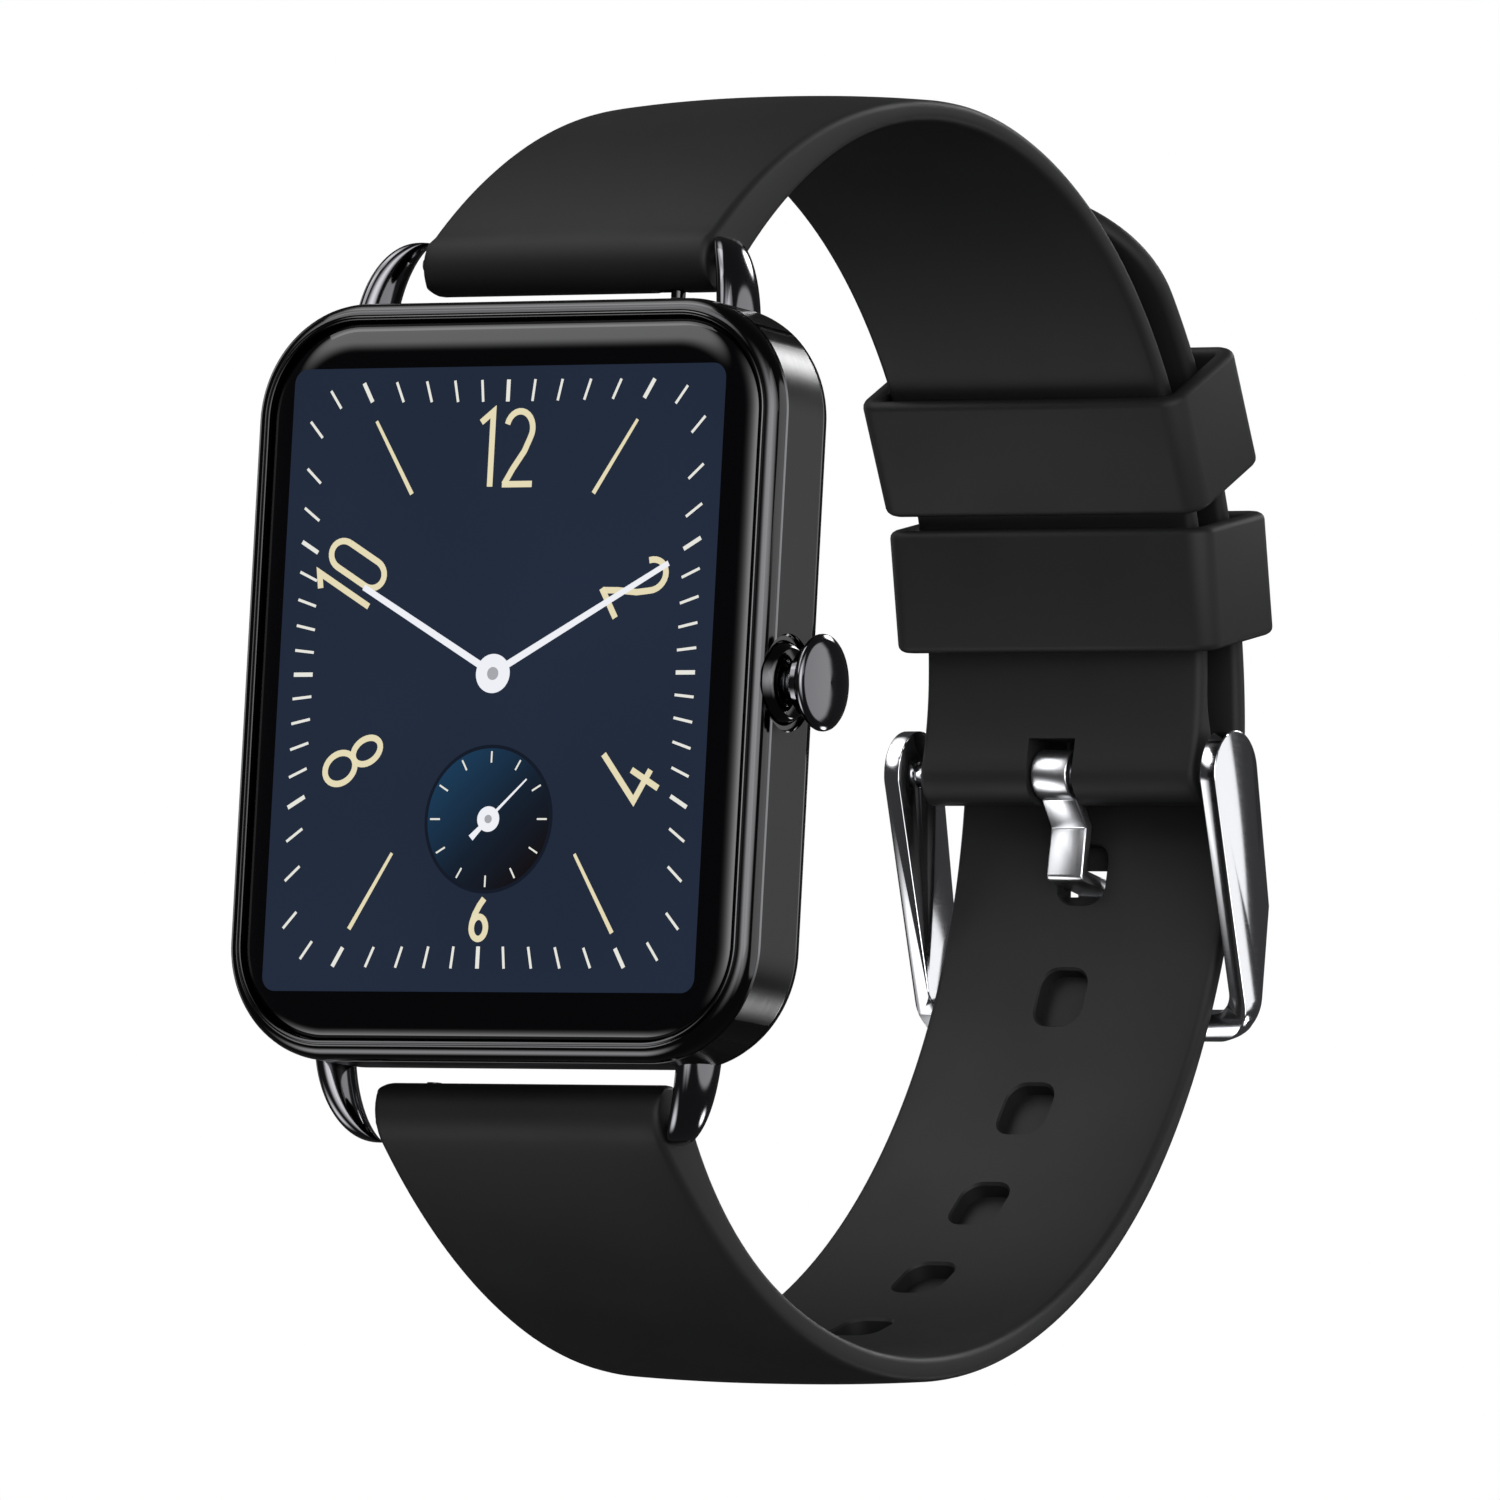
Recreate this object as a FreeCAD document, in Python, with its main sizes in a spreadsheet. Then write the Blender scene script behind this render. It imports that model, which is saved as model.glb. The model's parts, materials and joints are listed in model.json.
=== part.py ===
"""Smartwatch with a buckled silicone strap, as a parametric assembly.

Frame: +X towards the crown, +Z towards 12 o'clock, -Y out of the cover glass, +Y into the wrist.
The origin is the centre of the flat charging seat on the back of the case. Millimetres.
Depths such as "frame_back" are measured from the cover glass towards the wrist.
"""
import FreeCAD
import Part
import Sketcher
import math
import os
import re

V = FreeCAD.Vector
doc = FreeCAD.newDocument("smartwatch")

# ---------------------------------------------------------------- driving dimensions
SIZES = {
    # case
    "case_wide": 37.2, "case_tall": 46.6, "case_corner": 7.2, "case_thick": 10.6,
    "frame_front": 0.1, "frame_back": 7.3, "front_bevel": 1.0, "back_bevel": 1.1,
    "glass_inset": 1.2, "glass_thick": 1.0, "glass_round": 0.6, "glass_gap": 0.05,
    "gasket_thick": 0.15, "ledge_wide": 0.9,
    "panel_wide": 31.2, "panel_tall": 39.2, "panel_corner": 1.6, "panel_thick": 1.0,
    "chassis_thick": 0.6, "part_gap": 0.15, "battery_wide": 24.0, "battery_tall": 20.0,
    "battery_thick": 2.9, "board_wide": 22.4, "board_tall": 13.6, "board_thick": 0.7,
    "chip_thick": 1.1, "switch_thick": 1.1, "switch_deep": 1.8, "switch_tall": 3.0,
    "post_radius": 1.3, "motor_radius": 3.4, "motor_thick": 2.6,
    "speaker_wide": 10.5, "speaker_tall": 5.5, "speaker_thick": 2.4,
    "sensor_board_radius": 9.0, "sensor_board_thick": 0.5,
    "cover_thick": 1.5, "cover_inset": 1.2, "cover_lip": 0.8, "seal_thick": 0.5,
    "sensor_radius": 11.5, "sensor_sink": 0.9, "screw_radius": 0.6, "screw_head": 1.1,
    "contact_radius": 1.1, "contact_pitch": 4.0, "contact_drop": 15.0,
    "magnet_radius": 2.0, "magnet_thick": 0.8,
    # crown
    "crown_depth": 3.3, "crown_radius": 2.95, "crown_reach": 2.95, "crown_rim": 1.15,
    "crown_dome": 0.25, "crown_travel": 0.4, "stem_radius": 1.0, "stem_inside": 2.2,
    "neck_radius": 1.55, "collar_radius": 2.6, "collar_proud": 0.35, "recess_radius": 2.95,
    "recess_deep": 0.3, "fit_gap": 0.05,
    # lugs and spring bars
    "pin_depth": 7.0, "pin_reach": 3.15, "lug_gap": 0.3, "lug_base_out": 13.8, "lug_deep": 4.0,
    "lug_lean": 1.8, "lug_sweep": 86.0, "lug_tip_radius": 1.35, "lug_tip_thick": 1.15,
    "bar_radius": 0.75, "bar_pin_radius": 0.45, "bar_pin_in_lug": 0.7, "bar_short": 0.5,
    "bar_wall": 0.2, "release_travel": 1.0, "knob_radius": 0.5, "knob_reach": 2.35,
    "knob_at": 7.2,
    # strap
    "strap_wide": 20.0, "strap_thick": 1.9, "barrel_radius": 2.0, "strap_radius": 33.6,
    "strap_rise": 2.5, "strap_high": 5.1, "lower_high": 1.3, "lower_rise": 0.4, "pass_gap": 5.2,
    "tail_angle": 57.5, "tail_from": 10.0, "tail_spring": 4.0, "hole_pitch": 8.7,
    "hole_wide": 3.4, "hole_long": 4.0, "hole_corner": 1.2,
    "hole_angle": -8.2, "pin_aside": -0.5, "upper_taper": 52.0, "lower_taper": 28.0,
    # buckle and keepers
    "buckle_angle": -5.4, "buckle_rise": 1.75, "buckle_gap": 1.1, "plate_thick": 1.15,
    "plate_head": 2.85, "buckle_reach": 16.4, "cross_radius": 0.95, "cross_gap": 0.55,
    "buckle_corner": 2.6, "tongue_wide": 2.6, "tongue_thick": 0.8, "notch_gap": 0.4, "tongue_aside": -0.75,
    "notch_high": 2.2, "keeper_wide": 8.0, "keeper_wall": 1.05, "keeper_side": 1.3,
    "keeper_inner_gap": 0.45, "keeper_outer_gap": 0.35, "keeper_side_gap": 0.6,
    "keeper_round": 1.3, "keeper_one": 30.4, "keeper_two": 14.6,
}
sheet = doc.addObject("Spreadsheet::Sheet", "Sizes")
for row, (alias, value) in enumerate(SIZES.items(), 1):
    sheet.set("A%d" % row, alias)
    sheet.set("B%d" % row, str(value))
    sheet.setAlias("B%d" % row, alias)

# ---------------------------------------------------------------- places worked out from them
PLACES = {
    "glass_wide": "case_wide - 2 * glass_inset",
    "glass_tall": "case_tall - 2 * glass_inset",
    "glass_corner": "case_corner - glass_inset",
    "bay_wide": "case_wide - 2 * glass_inset - 2 * ledge_wide",
    "bay_tall": "case_tall - 2 * glass_inset - 2 * ledge_wide",
    "bay_corner": "case_corner - glass_inset - ledge_wide",
    "ledge": "frame_front + glass_thick + gasket_thick",
    "chassis_front": "frame_front + glass_thick + gasket_thick + panel_thick + part_gap",
    "inner_front": "frame_front + glass_thick + gasket_thick + panel_thick + 2 * part_gap"
                   " + chassis_thick",
    "screw_x": "case_wide / 2 - glass_inset - ledge_wide - 3 * screw_head",
    "screw_z": "case_tall / 2 - glass_inset - ledge_wide - 3 * screw_head",
    "crown_y": "crown_depth - case_thick",
    "pin_y": "pin_depth - case_thick",
    "pin_z": "case_tall / 2 + pin_reach",
    "lug_in": "strap_wide / 2 + lug_gap",
}
places = doc.addObject("Spreadsheet::Sheet", "Places")
for row, (alias, formula) in enumerate(PLACES.items(), 1):
    linked = re.sub(r"[a-z_]+", lambda match: "Sizes." + match.group(0), formula)
    places.set("A%d" % row, alias)
    places.set("B%d" % row, "=" + linked)
    places.setAlias("B%d" % row, alias)
doc.recompute()


def size(alias):
    """Value of a driving dimension or of a place worked out from them."""
    value = sheet.get(alias) if alias in SIZES else places.get(alias)
    return float(getattr(value, "Value", value))


def rule(text):
    """The expression with each alias pointing at its sheet."""
    def point(match):
        word = match.group(0)
        home = "Sizes." if word in SIZES else "Places." if word in PLACES else ""
        return home + word
    return re.sub(r"[a-z_]+", point, text)


def number(text):
    """Present value of a rule."""
    value = sheet.evalExpression(rule(text))
    return float(getattr(value, "Value", value))


def bind(thing, **rules):
    """Bind properties to rules; a double underscore in a name stands for a dot."""
    for name, text in rules.items():
        thing.setExpression(name.replace("__", "."), rule(text))
    return thing


# ---------------------------------------------------------------- sketch and body helpers
def new_body(label):
    body = doc.addObject("PartDesign::Body", label)
    body.Label = label
    return body


def plane_of(body, role):
    return [f for f in body.Origin.OriginFeatures if f.Role == role][0]


def sketch_on(body, role, name, depth=None):
    """Sketch on an origin plane; on XZ_Plane depth is its distance behind the cover glass."""
    sketch = body.newObject("Sketcher::SketchObject", name)
    sketch.AttachmentSupport = [(plane_of(body, role), "")]
    sketch.MapMode = "FlatFace"
    if depth is not None:
        bind(sketch, AttachmentOffset__Base__z="case_thick - (%s)" % depth)
    return sketch


def rounded_outline(sketch, wide, tall, corner):
    """Rectangle with four equal round corners, centred on the sketch's origin."""
    w, t, r = number(wide) / 2, number(tall) / 2, number(corner)
    start = len(sketch.Geometry)
    turns = ((w - r, t - r, 0), (r - w, t - r, 90), (r - w, r - t, 180), (w - r, r - t, 270))
    for x, y, turn in turns:
        circle = Part.Circle(V(x, y, 0), V(0, 0, 1), r)
        arc = Part.ArcOfCircle(circle, math.radians(turn), math.radians(turn + 90))
        sketch.addGeometry(arc, False)
    ends = (((w - r, t), (r - w, t)), ((-w, t - r), (-w, r - t)),
            ((r - w, -t), (w - r, -t)), ((w, r - t), (w, t - r)))
    for (x0, y0), (x1, y1) in ends:
        sketch.addGeometry(Part.LineSegment(V(x0, y0, 0), V(x1, y1, 0)), False)
    join = Sketcher.Constraint
    for i in range(4):
        arc, line, following = start + i, start + 4 + i, start + (i + 1) % 4
        sketch.addConstraint(join("Tangent", arc, 2, line, 1))
        sketch.addConstraint(join("Tangent", line, 2, following, 1))
        if i:
            sketch.addConstraint(join("Equal", start, arc))
    for i in (0, 2):
        sketch.addConstraint(join("Horizontal", start + 4 + i))
        sketch.addConstraint(join("Vertical", start + 5 + i))
    sketch.addConstraint(join("Symmetric", start, 3, start + 2, 3, -1, 1))
    radius = sketch.addConstraint(join("Radius", start, r))
    across = sketch.addConstraint(join("DistanceX", start + 5, 1, start + 7, 1, 2 * w))
    along = sketch.addConstraint(join("DistanceY", start + 6, 1, start + 4, 1, 2 * t))
    bind(sketch, **{"Constraints[%d]" % radius: corner, "Constraints[%d]" % across: wide,
                    "Constraints[%d]" % along: tall})
    return sketch


def polygon(sketch, corners):
    """Closed outline whose corners are pairs of rules."""
    spots = [(number(x), number(y)) for x, y in corners]
    start = len(sketch.Geometry)
    count = len(spots)
    for i in range(count):
        here, there = spots[i], spots[(i + 1) % count]
        sketch.addGeometry(Part.LineSegment(V(here[0], here[1], 0), V(there[0], there[1], 0)), False)
    for i in range(count):
        sketch.addConstraint(Sketcher.Constraint("Coincident", start + i, 2,
                                                 start + (i + 1) % count, 1))
    for i, (x, y) in enumerate(corners):
        for kind, text, value in (("DistanceX", x, spots[i][0]), ("DistanceY", y, spots[i][1])):
            if abs(value) < 1e-9:
                axis = -2 if kind == "DistanceX" else -1
                sketch.addConstraint(Sketcher.Constraint("PointOnObject", start + i, 1, axis))
            else:
                place = sketch.addConstraint(
                    Sketcher.Constraint(kind, -1, 1, start + i, 1, value))
                bind(sketch, **{"Constraints[%d]" % place: text})
    return sketch


def ring_of_circles(sketch, radius, centres):
    """Equal circles at pairs of rules."""
    for x, y in centres:
        spot = V(number(x), number(y), 0)
        at = sketch.addGeometry(Part.Circle(spot, V(0, 0, 1), number(radius)), False)
        size_at = sketch.addConstraint(Sketcher.Constraint("Radius", at, number(radius)))
        bind(sketch, **{"Constraints[%d]" % size_at: radius})
        for kind, text, value in (("DistanceX", x, spot.x), ("DistanceY", y, spot.y)):
            if abs(value) < 1e-9:
                axis = -2 if kind == "DistanceX" else -1
                sketch.addConstraint(Sketcher.Constraint("PointOnObject", at, 3, axis))
            else:
                place = sketch.addConstraint(Sketcher.Constraint(kind, -1, 1, at, 3, value))
                bind(sketch, **{"Constraints[%d]" % place: text})
    return sketch


def pad(body, sketch, length, name="Pad"):
    feature = body.newObject("PartDesign::Pad", name)
    feature.Profile = sketch
    bind(feature, Length=length)
    doc.recompute()
    return feature


def pocket(body, sketch, length=None, name="Pocket", both=False, forward=False):
    """Cut back from the sketch, or forward; through everything both ways if both is set."""
    feature = body.newObject("PartDesign::Pocket", name)
    feature.Profile = sketch
    feature.Reversed = forward
    if both:
        feature.Type = "ThroughAll"
        feature.Midplane = True
    else:
        bind(feature, Length=length)
    doc.recompute()
    return feature


def edges_at(shape, depth, tolerance=1e-4):
    """Names of the edges that lie wholly in the plane at this depth behind the cover glass."""
    level = depth - size("case_thick")
    names = []
    for i, edge in enumerate(shape.Edges, 1):
        box = edge.BoundBox
        if abs(box.YMin - level) < tolerance and abs(box.YMax - level) < tolerance:
            names.append("Edge%d" % i)
    return names


def soften(body, base, names, amount, kind="Fillet", key="Radius"):
    feature = body.newObject("PartDesign::" + kind, kind)
    feature.Base = (base, names)
    bind(feature, **{key: amount})
    doc.recompute()
    return feature


def revolved(body, sketch, axis="H_Axis"):
    feature = body.newObject("PartDesign::Revolution", "Revolution")
    feature.Profile = sketch
    feature.ReferenceAxis = (sketch, [axis])
    feature.Angle = 360
    doc.recompute()
    return feature


def plate(label, wide, tall, corner, front, thick):
    """Rounded plate facing the glass, from a depth and of a thickness."""
    body = new_body(label)
    sketch = sketch_on(body, "XZ_Plane", "Outline", "%s + %s" % (front, thick))
    rounded_outline(sketch, wide, tall, corner)
    pad(body, sketch, thick)
    return body


def ring_plate(label, wide, tall, corner, inner_wide, inner_tall, inner_corner, front, thick):
    """Rounded frame-shaped plate with a rounded opening."""
    body = plate(label, wide, tall, corner, front, thick)
    sketch = sketch_on(body, "XZ_Plane", "Opening")
    rounded_outline(sketch, inner_wide, inner_tall, inner_corner)
    pocket(body, sketch, both=True)
    return body


def cylinder(label, radius, length, axis, **place):
    """Part cylinder along a row axis; place gives rules for x, y and z of its start."""
    solid = doc.addObject("Part::Cylinder", label)
    solid.Label = label
    bind(solid, Radius=radius, Height=length)
    solid.Placement.Rotation = FreeCAD.Rotation(V(0, 0, 1), axis)
    bind(solid, **{"Placement__Base__" + key: text for key, text in place.items()})
    return solid


def block(label, long, wide, high, **place):
    """Part box; place gives rules for its lowest corner."""
    solid = doc.addObject("Part::Box", label)
    solid.Label = label
    bind(solid, Length=long, Width=wide, Height=high)
    bind(solid, **{"Placement__Base__" + key: text for key, text in place.items()})
    return solid


def joined(label, *solids):
    """Group of separate solids in one sub-part."""
    group = doc.addObject("Part::Compound", label)
    group.Label = label
    group.Links = list(solids)
    return group


def cut(label, base, tool):
    result = doc.addObject("Part::Cut", label)
    result.Label = label
    result.Base = base
    result.Tool = tool
    return result


def shaped(label, shape, spot=V(0, 0, 0), turn=0.0):
    """Sub-part whose shape is worked out here; it is turned about X, then moved to its spot."""
    feature = doc.addObject("Part::Feature", label)
    feature.Label = label
    feature.Shape = shape
    feature.Placement = FreeCAD.Placement(spot, FreeCAD.Rotation(V(1, 0, 0), turn))
    return feature


# ---------------------------------------------------------------- case
def make_case_frame():
    body = new_body("case_frame")
    outline = sketch_on(body, "XZ_Plane", "Outline", "frame_back")
    rounded_outline(outline, "case_wide", "case_tall", "case_corner")
    ring = pad(body, outline, "frame_back - frame_front")
    front = soften(body, ring, edges_at(ring.Shape, size("frame_front")), "front_bevel",
                   "Chamfer", "Size")
    soften(body, front, edges_at(front.Shape, size("frame_back")), "back_bevel", "Chamfer", "Size")

    seat = sketch_on(body, "XZ_Plane", "GlassSeat", "frame_front")
    rounded_outline(seat, "glass_wide + 2 * glass_gap", "glass_tall + 2 * glass_gap",
                    "glass_corner + glass_gap")
    pocket(body, seat, "glass_thick + gasket_thick")
    bay = sketch_on(body, "XZ_Plane", "Bay")
    rounded_outline(bay, "bay_wide", "bay_tall", "bay_corner")
    pocket(body, bay, both=True)

    recess = sketch_on(body, "YZ_Plane", "CrownRecess")
    bind(recess, AttachmentOffset__Base__z="case_wide / 2 - recess_deep")
    ring_of_circles(recess, "recess_radius", [("crown_y", "0")])
    pocket(body, recess, "2 * recess_deep", forward=True)
    bore = sketch_on(body, "YZ_Plane", "CrownBore")
    ring_of_circles(bore, "collar_radius - 2 * collar_proud", [("crown_y", "0")])
    pocket(body, bore, "case_wide", forward=True)
    return body


def make_glass_and_display():
    glass = plate("cover_glass", "glass_wide", "glass_tall", "glass_corner", "frame_front",
                  "glass_thick")
    slab = glass.Tip
    soften(glass, slab, edges_at(slab.Shape, size("frame_front")), "glass_round")
    ring_plate("glass_gasket", "glass_wide", "glass_tall", "glass_corner", "bay_wide", "bay_tall",
               "bay_corner", "frame_front + glass_thick", "gasket_thick")
    plate("display_panel", "panel_wide", "panel_tall", "panel_corner", "ledge", "panel_thick")


def screw_spots():
    """Rules for the four cover screws, inside the corners of the bay."""
    return [(sx + "screw_x", sz + "screw_z") for sx in ("", "- ") for sz in ("", "- ")]


def make_back():
    back_wide = "case_wide - 2 * cover_inset"
    back_tall = "case_tall - 2 * cover_inset"
    body = new_body("back_cover")
    outline = sketch_on(body, "XZ_Plane", "Outline", "frame_back + cover_thick")
    rounded_outline(outline, back_wide, back_tall, "case_corner - cover_inset")
    slab = pad(body, outline, "cover_thick")
    rim = edges_at(slab.Shape, size("frame_back") + size("cover_thick"))
    soften(body, slab, rim, "cover_lip")
    window = sketch_on(body, "XZ_Plane", "SensorSeat")
    ring_of_circles(window, "sensor_radius + glass_gap", [("0", "0")])
    pocket(body, window, both=True)
    corners = screw_spots()
    holes = sketch_on(body, "XZ_Plane", "ScrewHoles")
    ring_of_circles(holes, "screw_radius + glass_gap", corners)
    pocket(body, holes, both=True)
    contacts = sketch_on(body, "XZ_Plane", "ContactSeats")
    pads = [("- contact_pitch / 2", "- contact_drop"), ("contact_pitch / 2", "- contact_drop")]
    ring_of_circles(contacts, "contact_radius + glass_gap", pads)
    pocket(body, contacts, both=True)

    back = V(0, 1, 0)
    screws = []
    for i, (x, z) in enumerate(corners):
        shank = cylinder("screw_shank_%d" % i, "screw_radius", "cover_thick + cover_lip", back,
                         x=x, z=z, y="frame_back - case_thick - cover_lip")
        head = cylinder("screw_head_%d" % i, "screw_head", "cover_lip / 2", back,
                        x=x, z=z, y="frame_back - case_thick + cover_thick")
        screw = doc.addObject("Part::Fuse", "screw_%d" % i)
        screw.Base = shank
        screw.Tool = head
        screws.append(screw)
    joined("cover_screws", *screws)
    pins = [cylinder("contact_%d" % i, "contact_radius", "cover_thick + glass_round", back,
                     x=x, z=z, y="frame_back - case_thick - glass_round / 2")
            for i, (x, z) in enumerate(pads)]
    joined("charging_contacts", *pins)

    lens = new_body("sensor_window")
    lens.Placement.Rotation = FreeCAD.Rotation(V(0, 0, 1), 90)
    profile = sketch_on(lens, "XY_Plane", "Profile")
    polygon(profile, [("0", "0"), ("0", "sensor_radius - case_thick / 4"),
                      ("- sensor_sink", "sensor_radius"),
                      ("frame_back - case_thick", "sensor_radius"),
                      ("frame_back - case_thick", "0")])
    revolved(lens, profile)

    ring_plate("back_seal", "bay_wide - 2 * glass_gap", "bay_tall - 2 * glass_gap",
               "bay_corner - glass_gap", "bay_wide - 2 * cover_lip - 2 * glass_gap",
               "bay_tall - 2 * cover_lip - 2 * glass_gap",
               "bay_corner - cover_lip - glass_gap", "frame_back - seal_thick", "seal_thick")


# ---------------------------------------------------------------- inside the case
def make_inside():
    back = V(0, 1, 0)
    chassis = plate("chassis_plate", "bay_wide - 2 * part_gap", "bay_tall - 2 * part_gap",
                    "bay_corner - part_gap", "chassis_front", "chassis_thick")
    posts = sketch_on(chassis, "XZ_Plane", "ScrewPosts", "frame_back - fit_gap")
    ring_of_circles(posts, "post_radius", screw_spots())
    pad(chassis, posts, "frame_back - fit_gap - chassis_front", "Posts")
    threads = sketch_on(chassis, "XZ_Plane", "ScrewThreads", "frame_back - cover_lip - fit_gap")
    ring_of_circles(threads, "screw_radius + fit_gap", screw_spots())
    pocket(chassis, threads, "cover_lip + fit_gap", "Threads")
    notch = sketch_on(chassis, "XZ_Plane", "SwitchNotch")
    inner_edge = "case_wide / 2 - stem_inside - seal_thick - crown_travel - 2 * switch_thick"
    side = "switch_tall / 2 + part_gap"
    polygon(notch, [(inner_edge, "-(%s)" % side), ("case_wide / 2", "-(%s)" % side),
                    ("case_wide / 2", side), (inner_edge, side)])
    pocket(chassis, notch, both=True)
    block("battery", "battery_wide", "battery_thick", "battery_tall",
          x="- battery_wide / 2", y="inner_front - case_thick", z="- battery_tall + board_tall / 2")
    low = "board_tall / 2 + part_gap"
    block("main_board", "board_wide", "board_thick", "board_tall - 2 * part_gap",
          x="- board_wide / 2", y="inner_front - case_thick", z=low)
    chips = [block("chip_%d" % i, wide, "chip_thick", tall, x=x, z=z,
                   y="inner_front - case_thick + board_thick")
             for i, (wide, tall, x, z) in enumerate((
                 ("board_tall / 2", "board_tall / 2", "- 2 * board_wide / 5", "board_tall"),
                 ("board_tall / 3", "board_tall / 3", "board_wide / 8", "board_tall"),
                 ("board_tall / 4", "board_tall / 5", "0", "board_tall / 2 + chip_thick")))]
    joined("board_chips", *chips)
    cylinder("vibration_motor", "motor_radius", "motor_thick", back, x="- board_wide / 3",
             y="inner_front - case_thick",
             z="- battery_tall + board_tall / 2 - part_gap - motor_radius")
    block("speaker_module", "speaker_wide", "speaker_thick", "speaker_tall", x="- part_gap",
          y="inner_front - case_thick",
          z="- battery_tall + board_tall / 2 - speaker_tall - part_gap")
    cylinder("sensor_board", "sensor_board_radius", "sensor_board_thick", back, x="0", z="0",
             y="frame_back - case_thick - sensor_board_thick - part_gap")
    magnets = [cylinder("magnet_%d" % i, "magnet_radius", "magnet_thick", back, x=x,
                        z="contact_drop", y="frame_back - case_thick - magnet_thick - part_gap")
               for i, x in enumerate(("- contact_pitch", "contact_pitch"))]
    joined("alignment_magnets", *magnets)


# ---------------------------------------------------------------- crown
def crown_body(label, corners):
    """Turned piece on the crown's axis; corners are (outwards from the case side, radius)."""
    body = new_body(label)
    bind(body, Placement__Base__x="case_wide / 2", Placement__Base__y="crown_y")
    profile = sketch_on(body, "XY_Plane", "Profile")
    polygon(profile, corners)
    revolved(body, profile)
    return body


def make_crown():
    rim_in = "crown_reach - crown_rim"
    crown_body("crown_cap", [
        (rim_in, "stem_radius"), (rim_in, "crown_radius - crown_dome"),
        (rim_in + " + crown_dome", "crown_radius"), ("crown_reach - crown_dome", "crown_radius"),
        ("crown_reach", "crown_radius - crown_dome"), ("crown_reach + crown_dome", "neck_radius"),
        ("crown_reach + crown_dome", "0"), ("crown_reach - crown_dome", "0"),
        ("crown_reach - crown_dome", "stem_radius")])
    crown_body("crown_shaft", [
        ("- stem_inside", "0"), ("- stem_inside", "stem_radius"), (rim_in, "stem_radius"),
        ("crown_reach - crown_dome", "stem_radius"), ("crown_reach - crown_dome", "0")])
    crown_body("crown_neck", [
        ("collar_proud + crown_travel + fit_gap", "stem_radius"),
        ("collar_proud + crown_travel + fit_gap", "neck_radius"),
        (rim_in, "neck_radius"), (rim_in, "stem_radius")])
    crown_body("crown_collar", [
        ("- recess_deep", "collar_radius"), ("collar_proud", "collar_radius - collar_proud"),
        ("collar_proud", "stem_radius + fit_gap"), ("- recess_deep - seal_thick",
                                                    "stem_radius + fit_gap"),
        ("- recess_deep - seal_thick", "collar_radius - 2 * collar_proud"),
        ("- recess_deep", "collar_radius - 2 * collar_proud")])
    crown_body("crown_seal", [
        ("- recess_deep - 2 * seal_thick", "stem_radius + fit_gap"),
        ("- recess_deep - 2 * seal_thick", "stem_radius + seal_thick"),
        ("- recess_deep - seal_thick", "stem_radius + seal_thick"),
        ("- recess_deep - seal_thick", "stem_radius + fit_gap")])
    crown_body("crown_plunger", [
        ("- stem_inside - seal_thick", "0"), ("- stem_inside - seal_thick", "stem_radius / 2"),
        ("- stem_inside - fit_gap", "stem_radius / 2"), ("- stem_inside - fit_gap", "0")])
    block("crown_switch", "switch_thick", "switch_deep", "switch_tall",
          x="case_wide / 2 - stem_inside - seal_thick - crown_travel - switch_thick - fit_gap",
          y="crown_y - switch_deep / 2", z="- switch_tall / 2")


# ---------------------------------------------------------------- lugs
LUG_STEPS = 6


def horn_section(lean, up, sx, sz):
    """Oval of a lug where the quarter turn from its base has reached this lean and height."""
    base_half = (size("lug_base_out") - size("lug_in")) / 4
    tip_thick, tip_radius = size("lug_tip_thick"), size("lug_tip_radius")
    tip_out = size("lug_in") + tip_thick
    slim = math.sqrt(lean)
    half_x = (tip_thick * (1 - lean) + base_half * lean) * (1 + 2 * slim) / 3
    half_y = tip_radius * (1 + 4 * slim) / 5 + (size("lug_deep") / 2 - tip_radius) * lean
    outer = tip_out + (size("lug_base_out") - tip_out) * lean - (1 - lean) * tip_thick / 2
    sink = size("case_corner") / 4
    centre = V(sx * (outer - half_x), size("pin_y") - size("lug_lean") * lean,
               sz * (size("case_tall") / 2 - sink + (size("pin_reach") + tip_radius + sink) * up))
    across, deep = V(half_x, 0, 0), V(0, half_y, 0)
    if half_x >= half_y:
        oval = Part.Ellipse(centre + across, centre + deep, centre)
    else:
        oval = Part.Ellipse(centre + deep, centre - across, centre)
    return Part.Wire(oval.toShape())


def make_lugs(case_solid, cover_solid):
    """Four horns that rise from the case in a quarter turn and hold the spring bars."""
    half_gap, far = size("lug_in"), 2 * size("case_tall")
    strap_room = Part.makeBox(2 * half_gap, 2 * far, 2 * far, V(-half_gap, -far, -far))
    for side, sx in (("right", 1), ("left", -1)):
        for end, sz in (("upper", 1), ("lower", -1)):
            turns = [math.radians(size("lug_sweep") * i / LUG_STEPS) for i in range(LUG_STEPS + 1)]
            horn = Part.makeLoft([horn_section(math.cos(t), math.sin(t), sx, sz) for t in turns],
                                 True)
            bore = Part.makeCylinder(size("bar_pin_radius") + size("fit_gap"),
                                     size("bar_pin_in_lug") + size("fit_gap"),
                                     V(sx * half_gap, size("pin_y"), sz * size("pin_z")),
                                     V(sx, 0, 0))
            horn = horn.cut([strap_room, case_solid, cover_solid, bore])
            shaped("lug_%s_%s" % (end, side), max(horn.Solids, key=lambda s: s.Volume))


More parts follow.
